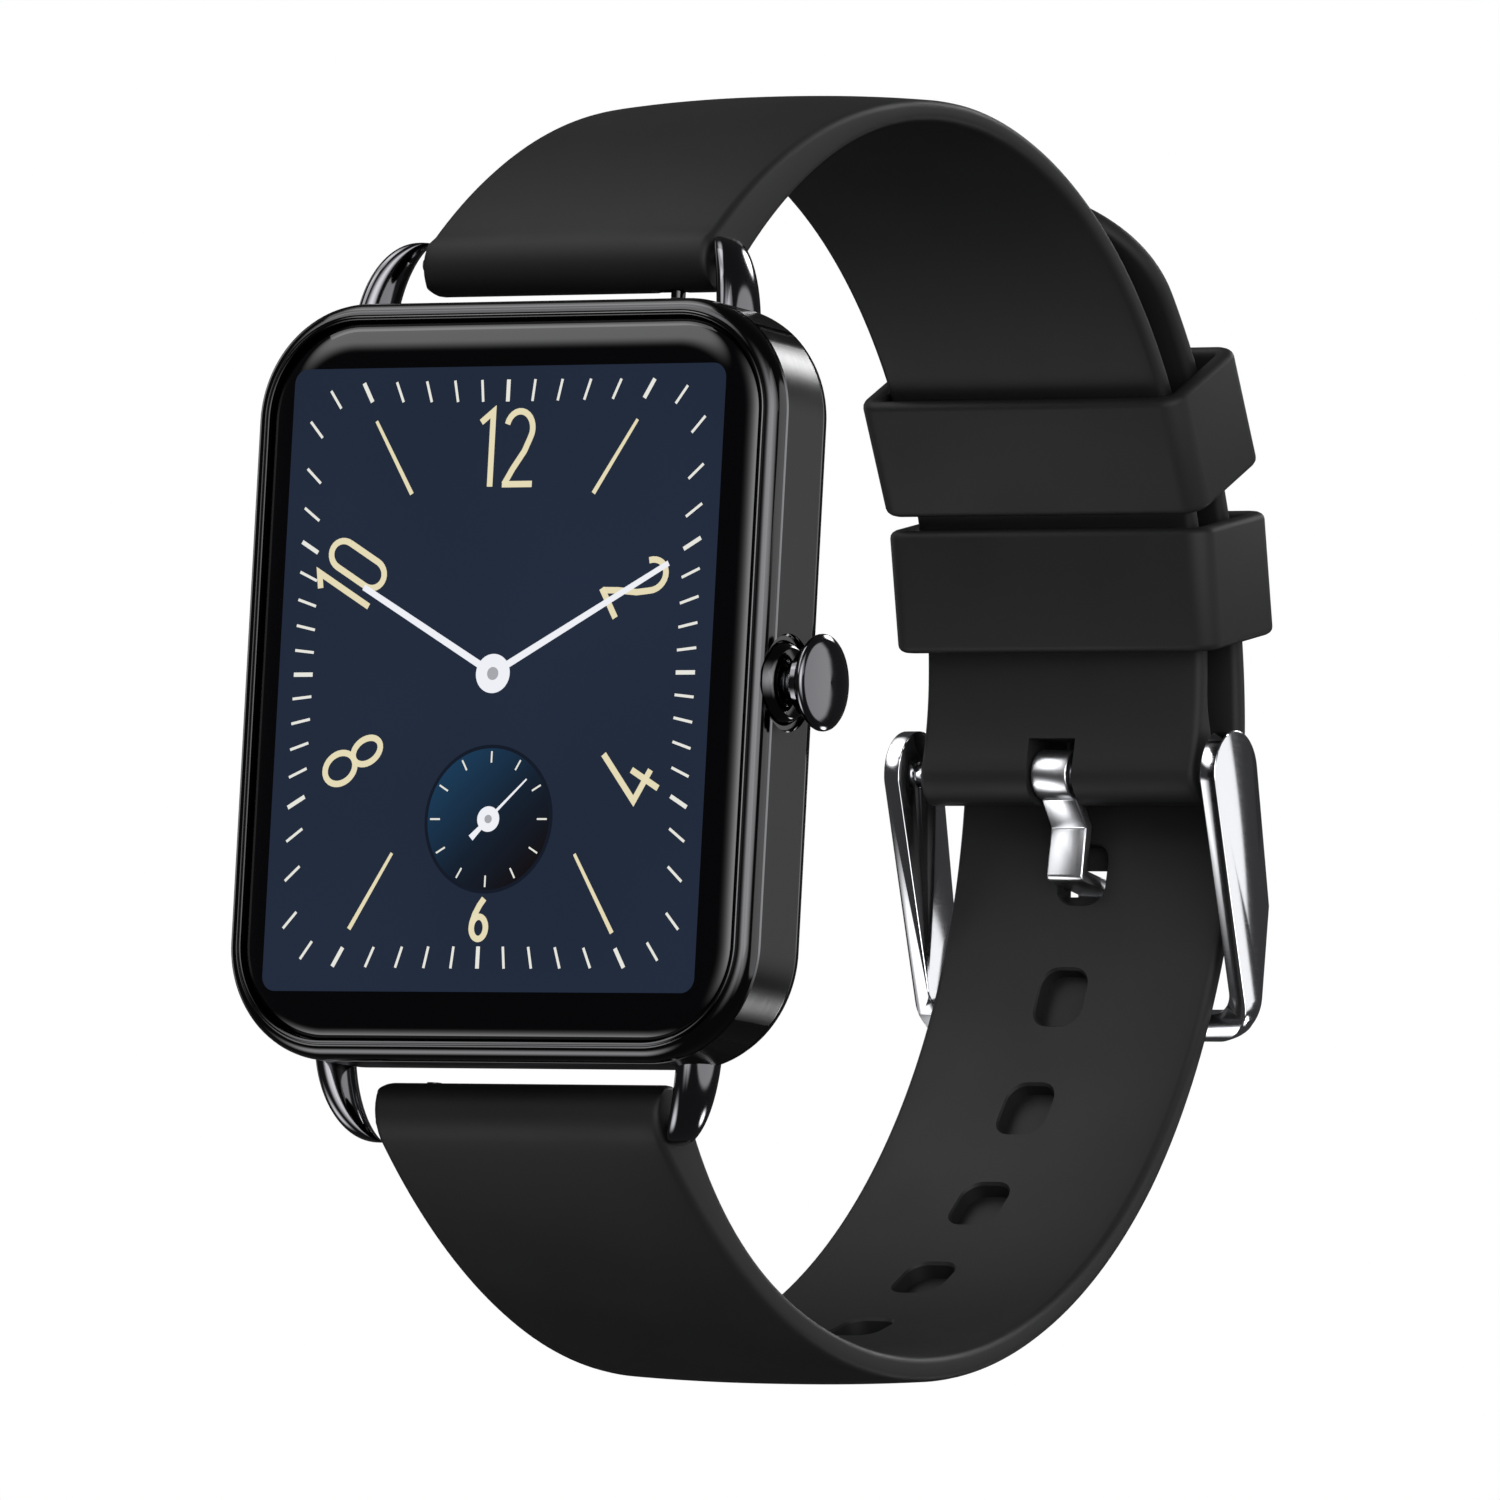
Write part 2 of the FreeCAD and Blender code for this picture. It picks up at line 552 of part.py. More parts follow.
# ---------------------------------------------------------------- spring bars
def make_spring_bar(end, sz, side):
    """Tube, fixed pin, sprung release pin with its knob, and spring; side is the knob's end."""
    z = "pin_z" if sz > 0 else "- pin_z"
    across = V(1, 0, 0)
    start, long = "- strap_wide / 2 + bar_short", "strap_wide - 2 * bar_short"
    outside = cylinder(end + "_tube_outside", "bar_radius", long, across, x=start, y="pin_y", z=z)
    inside = cylinder(end + "_tube_inside", "bar_radius - bar_wall", long, across,
                      x=start, y="pin_y", z=z)
    slot = block(end + "_tube_slot", "2 * knob_radius + release_travel + 2 * fit_gap",
                 "2 * knob_radius + 2 * fit_gap", "knob_reach",
                 x=("knob_at - knob_radius - release_travel - fit_gap" if side > 0
                    else "- knob_at - knob_radius - fit_gap"),
                 y="pin_y - knob_radius - fit_gap",
                 z="pin_z - knob_reach" if sz > 0 else "- pin_z")
    cut(end + "_bar_tube", cut(end + "_tube_wall", outside, inside), slot)
    cylinder(end + "_bar_fixed_pin", "bar_pin_radius", "3 * bar_short + lug_gap + bar_pin_in_lug",
             across, x="- lug_in - bar_pin_in_lug" if side > 0 else "strap_wide / 2 - 3 * bar_short",
             y="pin_y", z=z)

    def on_bar(x):
        return V(side * x, size("pin_y"), sz * size("pin_z"))

    knob_at, knob_radius = size("knob_at"), size("knob_radius")
    pin_end = size("lug_in") + size("bar_pin_in_lug")
    pin = Part.makeCylinder(size("bar_pin_radius"), pin_end - knob_at + knob_radius,
                            on_bar(pin_end), V(-side, 0, 0))
    knob = Part.makeCylinder(knob_radius - size("fit_gap"), size("knob_reach"), on_bar(knob_at),
                             V(0, 0, -sz))
    shaped(end + "_release_pin", pin.fuse(knob).removeSplitter())
    gap = 2 * size("fit_gap")
    coil_from = knob_at - knob_radius - size("release_travel") - gap
    coil_long = coil_from + size("strap_wide") / 2 - 3 * size("bar_short") - gap
    radius = size("bar_radius") - size("bar_wall") - size("fit_gap")
    coil, core = [Part.makeCylinder(r, coil_long, on_bar(coil_from), V(-side, 0, 0))
                  for r in (radius, radius / 2)]
    shaped(end + "_bar_spring", coil.cut(core))


# ---------------------------------------------------------------- strap
def loop_places():
    """Centres of the two strap arcs, the buckle bar and the cross bar, in the YZ plane."""
    radius = size("strap_radius")
    pin_y, pin_z = size("pin_y"), size("pin_z")
    upper_y = pin_y + math.sqrt((radius + size("strap_rise")) ** 2
                                - (pin_z - size("strap_high")) ** 2)
    outer_y = upper_y + radius + size("pass_gap")
    fall = pin_z + size("lower_high")
    span = outer_y - pin_y + size("lower_rise")
    lower_y = pin_y + (span ** 2 - fall ** 2) / (2 * span)
    lower_radius = outer_y - lower_y
    turn = math.radians(size("buckle_angle"))
    arm = radius + size("buckle_rise")
    bar = V(0, upper_y + arm * math.cos(turn), size("strap_high") + arm * math.sin(turn))
    upper, lower = V(0, upper_y, size("strap_high")), V(0, lower_y, size("lower_high"))
    cross_arm = lower_radius + size("strap_thick") + size("cross_gap") + size("cross_radius")
    between = lower - bar
    gap = between.Length
    along = (size("buckle_reach") ** 2 - cross_arm ** 2 + gap ** 2) / (2 * gap)
    aside = math.sqrt(size("buckle_reach") ** 2 - along ** 2)
    unit = between / gap
    sideways = V(0, -unit.z, unit.y) * aside
    cross = min(bar + unit * along + sideways, bar + unit * along - sideways, key=lambda p: p.z)
    return upper, lower, lower_radius, bar, cross


def on_arc(centre, radius, turn):
    """Point at an angle in degrees from the wrist side, towards 12 o'clock."""
    return centre + V(0, math.cos(math.radians(turn)), math.sin(math.radians(turn))) * radius


def turn_of(centre, spot):
    return math.degrees(math.atan2(spot.z - centre.z, spot.y - centre.y))


def extruded(edges, wide):
    """Solid as wide as asked, centred on the YZ plane, from its outline's edges in that plane."""
    face = Part.Face(Part.Wire([edge.toShape() for edge in edges]))
    face.translate(V(-wide / 2, 0, 0))
    return face.extrude(V(wide, 0, 0))


def band(centre, radius, thick, first, last, wide):
    """Strip of a strap between two angles round a centre."""
    inner = [on_arc(centre, radius, turn) for turn in (first, (first + last) / 2, last)]
    outer = [on_arc(centre, radius + thick, turn) for turn in (last, (first + last) / 2, first)]
    return extruded([Part.Arc(*inner), Part.LineSegment(inner[2], outer[0]), Part.Arc(*outer),
                     Part.LineSegment(outer[2], inner[0])], wide)


def barrel(spot, radius, wide):
    return Part.makeCylinder(radius, wide, V(-wide / 2, spot.y, spot.z), V(1, 0, 0))


def wedge(centre, radius, thick, spot, round_radius, taper, wide, outside):
    """Taper that eases from a barrel to the strap's face over an angle, on one side."""
    face_radius = radius + thick if outside else radius
    reach = (spot - centre).Length + (1 if outside else -1) * (round_radius - size("fit_gap"))
    start = turn_of(centre, spot)
    end = start - math.copysign(taper, start)
    half = (start + end) / 2
    rim = on_arc(centre, reach, start)
    last, inside = on_arc(centre, face_radius, end), on_arc(centre, radius + thick / 2, end)
    eased = on_arc(centre, face_radius + (reach - face_radius) / 4, half)
    return extruded([Part.LineSegment(spot, rim), Part.Arc(rim, eased, last),
                     Part.LineSegment(last, inside),
                     Part.Arc(inside, on_arc(centre, radius + thick / 2, half), spot)], wide)


def bar_way(spot):
    """Clear bore for a spring bar through a barrel."""
    return barrel(spot, size("bar_radius") + size("fit_gap"), size("strap_wide") * 2)


def knob_way(side, sz):
    """Slot in a barrel's end for the release knob over its travel."""
    gap = 2 * size("fit_gap")
    low = size("knob_at") - size("knob_radius") - size("release_travel") - gap
    long = 2 * size("knob_radius") + size("release_travel") + 2 * gap
    wide = 2 * size("knob_radius") + 2 * gap
    x = low if side > 0 else -low - long
    z = size("pin_z") - 2 * size("barrel_radius") if sz > 0 else -size("pin_z")
    return Part.makeBox(long, wide, 2 * size("barrel_radius"), V(x, size("pin_y") - wide / 2, z))


CUT_DEEP = 6  # cutters reach this many strap thicknesses across the band


def strap_hole(centre, radius, turn):
    """Rounded through hole across the band at an angle."""
    long, wide, corner = size("hole_long"), size("hole_wide"), size("hole_corner")
    deep = CUT_DEEP * size("strap_thick")
    box = Part.makeBox(wide, deep, long, V(-wide / 2, radius - deep / 2, -long / 2))
    along = [e for e in box.Edges if abs(e.BoundBox.YLength - deep) < 1e-6]
    tool = box.makeFillet(corner, along)
    tool.rotate(V(0, 0, 0), V(1, 0, 0), turn)
    tool.translate(centre + V(size("pin_aside"), 0, 0))
    return tool


HOLES_PAST_TONGUE = 2
HOLES_BEFORE_TONGUE = 5


def make_straps():
    upper, lower, lower_radius, bar, _ = loop_places()
    wide, thick, radius = size("strap_wide"), size("strap_thick"), size("strap_radius")
    round_radius = size("barrel_radius")
    top_pin = V(0, size("pin_y"), size("pin_z"))
    low_pin = V(0, size("pin_y"), -size("pin_z"))

    start = turn_of(upper, top_pin)
    end = size("buckle_angle")
    strip = band(upper, radius, thick, end, start, wide)
    taper = wedge(upper, radius, thick, top_pin, round_radius, size("upper_taper"), wide, True)
    strap = strip.fuse([taper, barrel(top_pin, round_radius, wide), barrel(bar, round_radius, wide)])
    notch_half = size("tongue_wide") / 2 + size("notch_gap")
    notch = Part.makeBox(2 * notch_half, 8 * round_radius, 4 * round_radius,
                         V(size("pin_aside") - notch_half, bar.y - 4 * round_radius,
                           bar.z + size("notch_high") - 4 * round_radius))
    strap = strap.cut([bar_way(top_pin), bar_way(bar), notch, knob_way(1, 1)])
    shaped("upper_strap", strap.removeSplitter())

    start = turn_of(lower, low_pin)
    strip = band(lower, lower_radius, thick, start, size("tail_from"), wide)
    tail, tail_radius = tail_place(lower, lower_radius)
    end = band(tail, tail_radius, thick, size("tail_from"), size("tail_angle"), wide)
    taper = wedge(lower, lower_radius, thick, low_pin, round_radius, size("lower_taper"), wide,
                  False)
    strap = strip.fuse([end, taper, barrel(low_pin, round_radius, wide)])
    step = math.degrees(size("hole_pitch") / (lower_radius + thick / 2))
    holes = [strap_hole(lower, lower_radius, size("hole_angle") + i * step)
             for i in range(-HOLES_BEFORE_TONGUE, HOLES_PAST_TONGUE + 1)]
    strap = strap.cut(holes + [bar_way(low_pin), knob_way(-1, -1),
                               tail_corners(tail, tail_radius, thick, wide)])
    shaped("lower_strap", max(strap.Solids, key=lambda s: s.Volume))


def tail_place(lower, lower_radius):
    """Centre and radius of the free end's wider curve, which leaves the strap's curve smoothly."""
    spring = size("tail_spring")
    return on_arc(lower, -spring, size("tail_from")), lower_radius + spring


def tail_corners(centre, radius, thick, wide):
    """Cutter that rounds the free end of the lower strap to a half circle."""
    deep = CUT_DEEP * thick
    half = wide / 2
    frame = Part.makeBox(2 * wide, deep, wide, V(-wide, radius - deep / 2, 0))
    round_end = Part.makeCylinder(half, deep, V(0, radius - deep / 2, 0), V(0, 1, 0))
    tool = frame.cut(round_end)
    back_off = math.degrees(half / (radius + thick / 2))
    tool.rotate(V(0, 0, 0), V(1, 0, 0), size("tail_angle") - back_off)
    tool.translate(centre)
    return tool


def make_keepers():
    """Two free loops that hold the tail against the upper strap."""
    upper, lower, lower_radius, _, _ = loop_places()
    half = size("keeper_wide") / 2
    inner = size("strap_radius") - half ** 2 / (2 * size("strap_radius")) - size("keeper_inner_gap")
    tail, tail_radius = tail_place(lower, lower_radius)
    turns = (("keeper_upper", size("keeper_one")), ("keeper_lower", size("keeper_two")))
    farthest = 0
    for _, turn in turns:
        out, along = on_arc(V(0, 0, 0), 1, turn), on_arc(V(0, 0, 0), 1, turn + 90)
        for angle in range(0, int(size("tail_angle"))):
            home, reach = (tail, tail_radius) if angle > size("tail_from") else (lower, lower_radius)
            spot = on_arc(home, reach + size("strap_thick"), angle) - upper
            if abs(spot.dot(along)) < half + 1:
                farthest = max(farthest, spot.dot(out))
    outer = farthest + size("keeper_outer_gap")
    side = size("strap_wide") / 2 + size("keeper_side_gap")
    wall, flank = size("keeper_wall"), size("keeper_side")
    for label, turn in turns:
        body = Part.makeBox(2 * (side + flank), outer - inner + 2 * wall, 2 * half,
                            V(-side - flank, inner - wall, -half))
        posts = [e for e in body.Edges if abs(e.BoundBox.ZLength - 2 * half) < 1e-6]
        body = body.makeFillet(size("keeper_round"), posts)
        hole = Part.makeBox(2 * side, outer - inner, 4 * half, V(-side, inner, -2 * half))
        shaped(label, body.cut(hole), upper, turn)


# ---------------------------------------------------------------- buckle
def make_buckle():
    upper, lower, lower_radius, bar, cross = loop_places()
    inner_x = size("strap_wide") / 2 + size("buckle_gap")
    outer_x = inner_x + size("plate_thick")
    long = (cross - bar).Length
    lean = math.degrees(math.atan2(cross.z - bar.z, cross.y - bar.y)) + 90
    head, tail = size("plate_head"), size("cross_radius")
    # side outline in a frame with the bar at its origin and the cross bar straight below
    shoulder = V(0, head + tail / 4, -long * 0.55)
    heel = V(0, tail * 0.8, -long)
    toe = V(0, -tail * 0.8, -long - tail * 0.5)
    face = Part.Face(Part.Wire([edge.toShape() for edge in (
        Part.Arc(V(0, head, 0), V(0, 0, head), V(0, -head, 0)),
        Part.LineSegment(V(0, -head, 0), toe),
        Part.Arc(toe, V(0, tail * 0.2, -long - tail), heel),
        Part.LineSegment(heel, shoulder),
        Part.LineSegment(shoulder, V(0, head, 0)))]))
    face.translate(V(-outer_x, 0, 0))
    slab = face.extrude(V(2 * outer_x, 0, 0))
    # plan outline: plates joined by the cross bar with round corners
    tall = long + head + 3 * tail
    ring = Part.makeBox(2 * outer_x, 8 * head, tall, V(-outer_x, -4 * head, -long - tail))
    low = [e for e in ring.Edges if abs(e.BoundBox.YLength - 8 * head) < 1e-6
           and e.BoundBox.ZMax < -long]
    ring = ring.makeFillet(size("buckle_corner"), low)
    gap = Part.makeBox(2 * inner_x, 10 * head, tall, V(-inner_x, -5 * head, -long + tail))
    low = [e for e in gap.Edges if abs(e.BoundBox.YLength - 10 * head) < 1e-6
           and e.BoundBox.ZMax < -long + 2 * tail]
    gap = gap.makeFillet(size("buckle_corner") - size("plate_thick"), low)
    frame = slab.common(ring).cut(gap)
    seat = Part.makeCylinder(size("bar_radius") + size("fit_gap"),
                             2 * (inner_x + size("bar_pin_in_lug") + size("fit_gap")),
                             V(-inner_x - size("bar_pin_in_lug") - size("fit_gap"), 0, 0), V(1, 0, 0))
    shaped("buckle_frame", frame.cut(seat), bar, lean)
    bar_long = 2 * (inner_x + size("bar_pin_in_lug"))
    shaped("buckle_bar", Part.makeCylinder(size("bar_radius"), bar_long,
                                           V(-bar_long / 2, bar.y, bar.z), V(1, 0, 0)))

    # tongue: ring on the bar, then a bent strip down the strap, through its hole and outwards
    thick, half = size("tongue_thick"), size("tongue_wide") / 2
    hole = on_arc(lower, lower_radius + size("strap_thick") / 2, size("hole_angle"))
    ring = size("bar_radius") + size("fit_gap")
    rest_y = cross.y + size("cross_radius") * 4 / 3 + thick / 2
    skim = lower_radius - 2 * thick
    knee = on_arc(lower, skim, turn_of(lower, bar) - math.degrees(ring + thick) / skim * 2)
    inside = on_arc(lower, skim, size("hole_angle")) - V(0, 0, size("hole_long") / 8)
    outside = V(0, rest_y, hole.z - size("hole_long") / 6)
    route = [bar + V(0, ring * 0.2, -ring - thick / 2), knee, inside, outside,
             V(0, rest_y, cross.z - size("cross_radius"))]
    strips = []
    for here, there in zip(route, route[1:]):
        aim = (there - here).normalize()
        aside = V(0, -aim.z, aim.y) * (thick / 2)
        corners = [here + aside, there + aside, there - aside, here - aside, here + aside]
        strip = Part.Face(Part.makePolygon(corners))
        strip.translate(V(-half, 0, 0))
        strips.append(strip.extrude(V(2 * half, 0, 0)))
    strips += [Part.makeCylinder(thick / 2, 2 * half, V(-half, spot.y, spot.z), V(1, 0, 0))
               for spot in route]
    collar = Part.makeCylinder(ring + thick, 2 * half, V(-half, bar.y, bar.z), V(1, 0, 0))
    bore = Part.makeCylinder(ring, 4 * half, V(-2 * half, bar.y, bar.z), V(1, 0, 0))
    tongue = collar.fuse(strips).cut(bore).removeSplitter()
    shaped("buckle_tongue", tongue, V(size("tongue_aside"), 0, 0))


# ---------------------------------------------------------------- build and write
case_frame = make_case_frame()
make_glass_and_display()
make_back()
make_inside()
make_crown()
doc.recompute()
make_lugs(case_frame.Shape, doc.getObject("back_cover").Shape)
make_spring_bar("upper", 1, 1)
make_spring_bar("lower", -1, -1)
make_straps()
make_keepers()
make_buckle()
doc.recompute()

NODES = [
    "case_frame", "cover_glass", "glass_gasket", "display_panel", "back_cover", "cover_screws",
    "charging_contacts", "sensor_window", "back_seal", "chassis_plate", "battery", "main_board",
    "board_chips", "vibration_motor", "speaker_module", "sensor_board", "alignment_magnets",
    "crown_cap", "crown_shaft", "crown_neck", "crown_collar", "crown_seal", "crown_plunger",
    "crown_switch", "lug_upper_right", "lug_upper_left", "lug_lower_right", "lug_lower_left",
    "upper_bar_tube", "upper_bar_fixed_pin", "upper_release_pin", "upper_bar_spring",
    "lower_bar_tube", "lower_bar_fixed_pin", "lower_release_pin", "lower_bar_spring",
    "upper_strap", "lower_strap", "keeper_upper", "keeper_lower", "buckle_frame", "buckle_bar",
    "buckle_tongue",
]
for thing in doc.Objects:
    if "Invalid" in thing.State or "Error" in thing.State:
        raise RuntimeError("%s failed: %s" % (thing.Label, thing.State))
os.makedirs("parts", exist_ok=True)
parts = {label: doc.getObjectsByLabel(label)[0] for label in NODES}
for label, thing in parts.items():
    if thing.Shape.isNull() or not thing.Shape.isValid() or not thing.Shape.Solids:
        raise RuntimeError(label + " has no valid solid")
for label, thing in parts.items():
    thing.Shape.exportStep("parts/%s.step" % label)
    print(label, len(thing.Shape.Solids), round(thing.Shape.Volume, 2))
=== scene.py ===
"""Smartwatch with a buckled silicone strap: its visible pieces, built round the CAD frame."""

import json
import math

import bmesh
import bpy
from bpy.props import FloatProperty, FloatVectorProperty, IntProperty, PointerProperty
from mathutils import Matrix, Vector


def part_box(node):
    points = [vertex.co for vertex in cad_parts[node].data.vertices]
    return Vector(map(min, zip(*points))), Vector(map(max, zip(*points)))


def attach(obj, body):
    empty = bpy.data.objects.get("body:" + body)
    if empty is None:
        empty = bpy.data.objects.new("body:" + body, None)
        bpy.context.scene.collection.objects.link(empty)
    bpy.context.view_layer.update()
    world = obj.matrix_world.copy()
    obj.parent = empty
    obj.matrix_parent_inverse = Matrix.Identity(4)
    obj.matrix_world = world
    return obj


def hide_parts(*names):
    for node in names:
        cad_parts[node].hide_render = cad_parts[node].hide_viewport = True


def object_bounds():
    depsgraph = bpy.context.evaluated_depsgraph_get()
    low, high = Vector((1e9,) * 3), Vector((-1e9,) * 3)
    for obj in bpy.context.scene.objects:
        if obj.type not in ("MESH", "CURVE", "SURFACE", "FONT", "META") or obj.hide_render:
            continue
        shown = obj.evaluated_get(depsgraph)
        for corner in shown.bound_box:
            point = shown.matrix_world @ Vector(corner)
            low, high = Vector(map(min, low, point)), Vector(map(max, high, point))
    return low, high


bl_info = {
    "name": "Smartwatch",
    "version": (1, 0, 0),
    "blender": (4, 5, 0),
    "location": "View3D > Sidebar > Smartwatch",
    "description": "Builds a smartwatch with a silicone strap, a pin buckle and a lit dial",
    "category": "Add Mesh",
}

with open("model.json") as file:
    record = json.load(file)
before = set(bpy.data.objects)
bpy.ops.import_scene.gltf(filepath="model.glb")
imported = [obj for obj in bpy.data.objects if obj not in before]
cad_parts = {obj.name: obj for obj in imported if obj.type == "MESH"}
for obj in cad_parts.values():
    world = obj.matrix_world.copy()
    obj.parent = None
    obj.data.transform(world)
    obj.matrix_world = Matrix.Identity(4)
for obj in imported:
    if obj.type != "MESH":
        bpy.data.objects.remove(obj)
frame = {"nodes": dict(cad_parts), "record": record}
CAD_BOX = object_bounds()
MM = 0.001
FULL = 2 * math.pi
MERGE = 1e-7


# ------------------------------------------------------------------ places read from the CAD
class Place:
    """Lowest and highest corner of a CAD node, with its middle and size."""

    def __init__(self, node):
        self.low, self.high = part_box(node)
        self.middle = (self.low + self.high) / 2
        self.size = self.high - self.low


CASE = Place("case_frame")
GLASS = Place("cover_glass")
WINDOW = Place("sensor_window")
CROWN = Place("crown_cap")
JOINTS = {joint["name"]: joint for joint in frame["record"]["behaviour"]["joints"]}


def hinge(name):
    """Point that a joint turns about, at rest."""
    return Vector(JOINTS[name]["pos_m"])


UPPER_PIN, LOWER_PIN = hinge("upper_strap_swing"), hinge("lower_strap_swing")
BUCKLE_PIN = hinge("buckle_swing")


# ------------------------------------------------------------------ colour and node helpers
def linear(code):
    """Linear colour of an sRGB hex code, with full alpha."""
    parts = [int(code[i:i + 2], 16) / 255 for i in (1, 3, 5)]
    return [p / 12.92 if p <= 0.04045 else ((p + 0.055) / 1.055) ** 2.4 for p in parts] + [1.0]


def add_node(tree, kind, inputs=None, **settings):
    """One node with its settings; an input is a value, or an output socket to link from."""
    made = tree.nodes.new(kind)
    for name, value in settings.items():
        setattr(made, name, value)
    for name, value in (inputs or {}).items():
        if isinstance(value, bpy.types.NodeSocket):
            tree.links.new(value, made.inputs[name])
        else:
            made.inputs[name].default_value = value
    return made


def surface(name, **shader):
    """New material with its Principled shader set; returns the material, tree and shader."""
    material = bpy.data.materials.new(name)
    material.use_nodes = True
    tree = material.node_tree
    principled = tree.nodes["Principled BSDF"]
    for key, value in shader.items():
        principled.inputs[key.replace("_", " ")].default_value = value
    return material, tree, principled


def noise(tree, grain, detail, stretch=(1.0, 1.0, 1.0)):
    """Noise in object coordinates with a grain in mm, as an output socket."""
    where = add_node(tree, "ShaderNodeTexCoord")
    point = add_node(tree, "ShaderNodeMapping", {"Vector": where.outputs["Object"],
                                                 "Scale": stretch})
    made = add_node(tree, "ShaderNodeTexNoise", {"Vector": point.outputs["Vector"],
                                                 "Scale": 1 / (grain * MM), "Detail": detail})
    return made.outputs["Fac"]


def roughened(tree, principled, factor, low, high):
    """Roughness that runs between two values with a pattern."""
    spread = add_node(tree, "ShaderNodeMapRange", {"Value": factor, "To Min": low, "To Max": high})
    tree.links.new(spread.outputs["Result"], principled.inputs["Roughness"])


def bumped(tree, principled, height, distance, strength=1.0):
    relief = add_node(tree, "ShaderNodeBump", {"Height": height, "Distance": distance,
                                               "Strength": strength})
    tree.links.new(relief.outputs["Normal"], principled.inputs["Normal"])


def tinted(tree, socket, factor, low, high, *between):
    """Colour ramp between two colours, with (place, colour) stops between, on a shader's input."""
    ramp = add_node(tree, "ShaderNodeValToRGB", {"Fac": factor})
    ramp.color_ramp.elements[0].color = low
    ramp.color_ramp.elements[1].color = high
    for place, tint in between:
        ramp.color_ramp.elements.new(place).color = tint
    tree.links.new(ramp.outputs["Color"], socket)


# ------------------------------------------------------------------ materials
def textured(name, grain, detail, rough, relief=0.0, strength=1.0, stretch=(1.0, 1.0, 1.0),
             **shader):
    """Material with one noise in its roughness range and, with a depth in mm, in its relief."""
    material, tree, principled = surface(name, **shader)
    factor = noise(tree, grain, detail, stretch)
    roughened(tree, principled, factor, *rough)
    if relief:
        bumped(tree, principled, factor, relief * MM, strength)
    return material


def black_chrome(name, tint):
    # PVD black chrome on polished steel: a near-black mirror with faint wiping haze
    return textured(name, 6, 3.0, (0.05, 0.13), Metallic=1.0, Roughness=0.1, Base_Color=tint)


def satin_chrome(looks):
    # the same plating over a blasted and circumferentially brushed side: a soft sheen
    # that stretches along the case's depth; real brush lines are 0.02 mm apart, drawn at
    # 0.12 mm so that they show
    return textured("Black chrome, satin brushed", 1.7, 4.0, (0.26, 0.38), 0.004,
                    stretch=(1.0, 14.0, 1.0), Metallic=1.0, Roughness=0.3,
                    Base_Color=looks.satin, Anisotropic=0.5)


def cover_glass_black(looks):
    # toughened 2.5D glass over a black printed border: a deep gloss with soft round edges
    return textured("Toughened glass, black printed", 9, 2.0, (0.015, 0.05),
                    Base_Color=linear("#010102"), IOR=1.52, Roughness=0.03)


def lit(name, code="#000000"):
    """A lit display behind glass: its own light, with the glass's gloss on top."""
    return surface(name, Base_Color=linear("#000000"), Emission_Color=linear(code),
                   Emission_Strength=1.0, IOR=1.52, Specular_IOR_Level=0.35, Roughness=0.03)


def display_navy(looks):
    # lit navy of the dial: slightly uneven between two tints
    material, tree, shader = lit("Lit display, navy")
    tinted(tree, shader.inputs["Emission Color"], noise(tree, 14, 1.0),
           looks.navy, looks.navy_light)
    return material


def subdial_navy(looks):
    # lit gradient of the small dial: petrol blue at the top left, near black at the lower right
    material, tree, shader = lit("Lit display, petrol to black")
    where = add_node(tree, "ShaderNodeTexCoord")
    split = add_node(tree, "ShaderNodeSeparateXYZ", {"Vector": where.outputs["Object"]})
    lean = add_node(tree, "ShaderNodeMath", {0: split.outputs["X"], 1: split.outputs["Z"]},
                    operation="SUBTRACT")
    middle, reach = SUBDIAL[0] - SUBDIAL[1], 6 * MM
    spread = add_node(tree, "ShaderNodeMapRange", {
        "Value": lean.outputs["Value"], "From Min": middle - reach, "From Max": middle + reach})
    tinted(tree, shader.inputs["Emission Color"], spread.outputs["Result"],
           looks.petrol, linear("#120f12"), (0.55, linear("#14202f")))
    return material


def strap_silicone(looks):
    # moulded silicone with a fine spark-eroded texture: dead matte, dust-soft highlights;
    # the mould's grain is 0.03 mm, drawn at 0.1 mm so that it shows
    material, tree, shader = surface("Silicone rubber, matte moulded", IOR=1.41, Roughness=0.6,
                                     Base_Color=looks.silicone, Specular_IOR_Level=0.3)
    grain, cloud = noise(tree, 0.1, 2.0), noise(tree, 7, 3.0)
    tinted(tree, shader.inputs["Base Color"], cloud, looks.silicone, looks.silicone_light)
    roughened(tree, shader, cloud, 0.5, 0.64)
    bumped(tree, shader, grain, 0.006 * MM, 0.6)
    return material


def polished_steel(looks):
    # 316L steel, mirror polished: bright, with hairline wear that catches the light
    return textured("Stainless steel, polished", 1.2, 5.0, (0.07, 0.19),
                    stretch=(1.0, 1.0, 9.0), Metallic=1.0, Roughness=0.12,
                    Base_Color=looks.steel)


def brushed_steel(looks):
    # the same steel with a fine lengthwise brush: pale and even, softer than a mirror
    return textured("Stainless steel, brushed", 1.4, 4.0, (0.24, 0.36), 0.002,
                    stretch=(12.0, 1.0, 1.0), Metallic=1.0, Roughness=0.3,
                    Base_Color=looks.steel)


def turned_steel(looks):
    # small steel parts straight from the lathe: fine rings give a silky highlight
    return textured("Stainless steel, turned", 1.5, 3.0, (0.18, 0.34), 0.003,
                    stretch=(12.0, 1.0, 1.0), Metallic=1.0, Roughness=0.25,
                    Base_Color=linear("#a9abb0"))


def moulded_back(looks):
    # glass-filled polycarbonate back, spark-eroded mould: even satin with a faint orange peel
    return textured("Polycarbonate, satin moulded", 0.25, 3.0, (0.38, 0.52), 0.01,
                    Roughness=0.45, IOR=1.58, Base_Color=linear("#141415"))


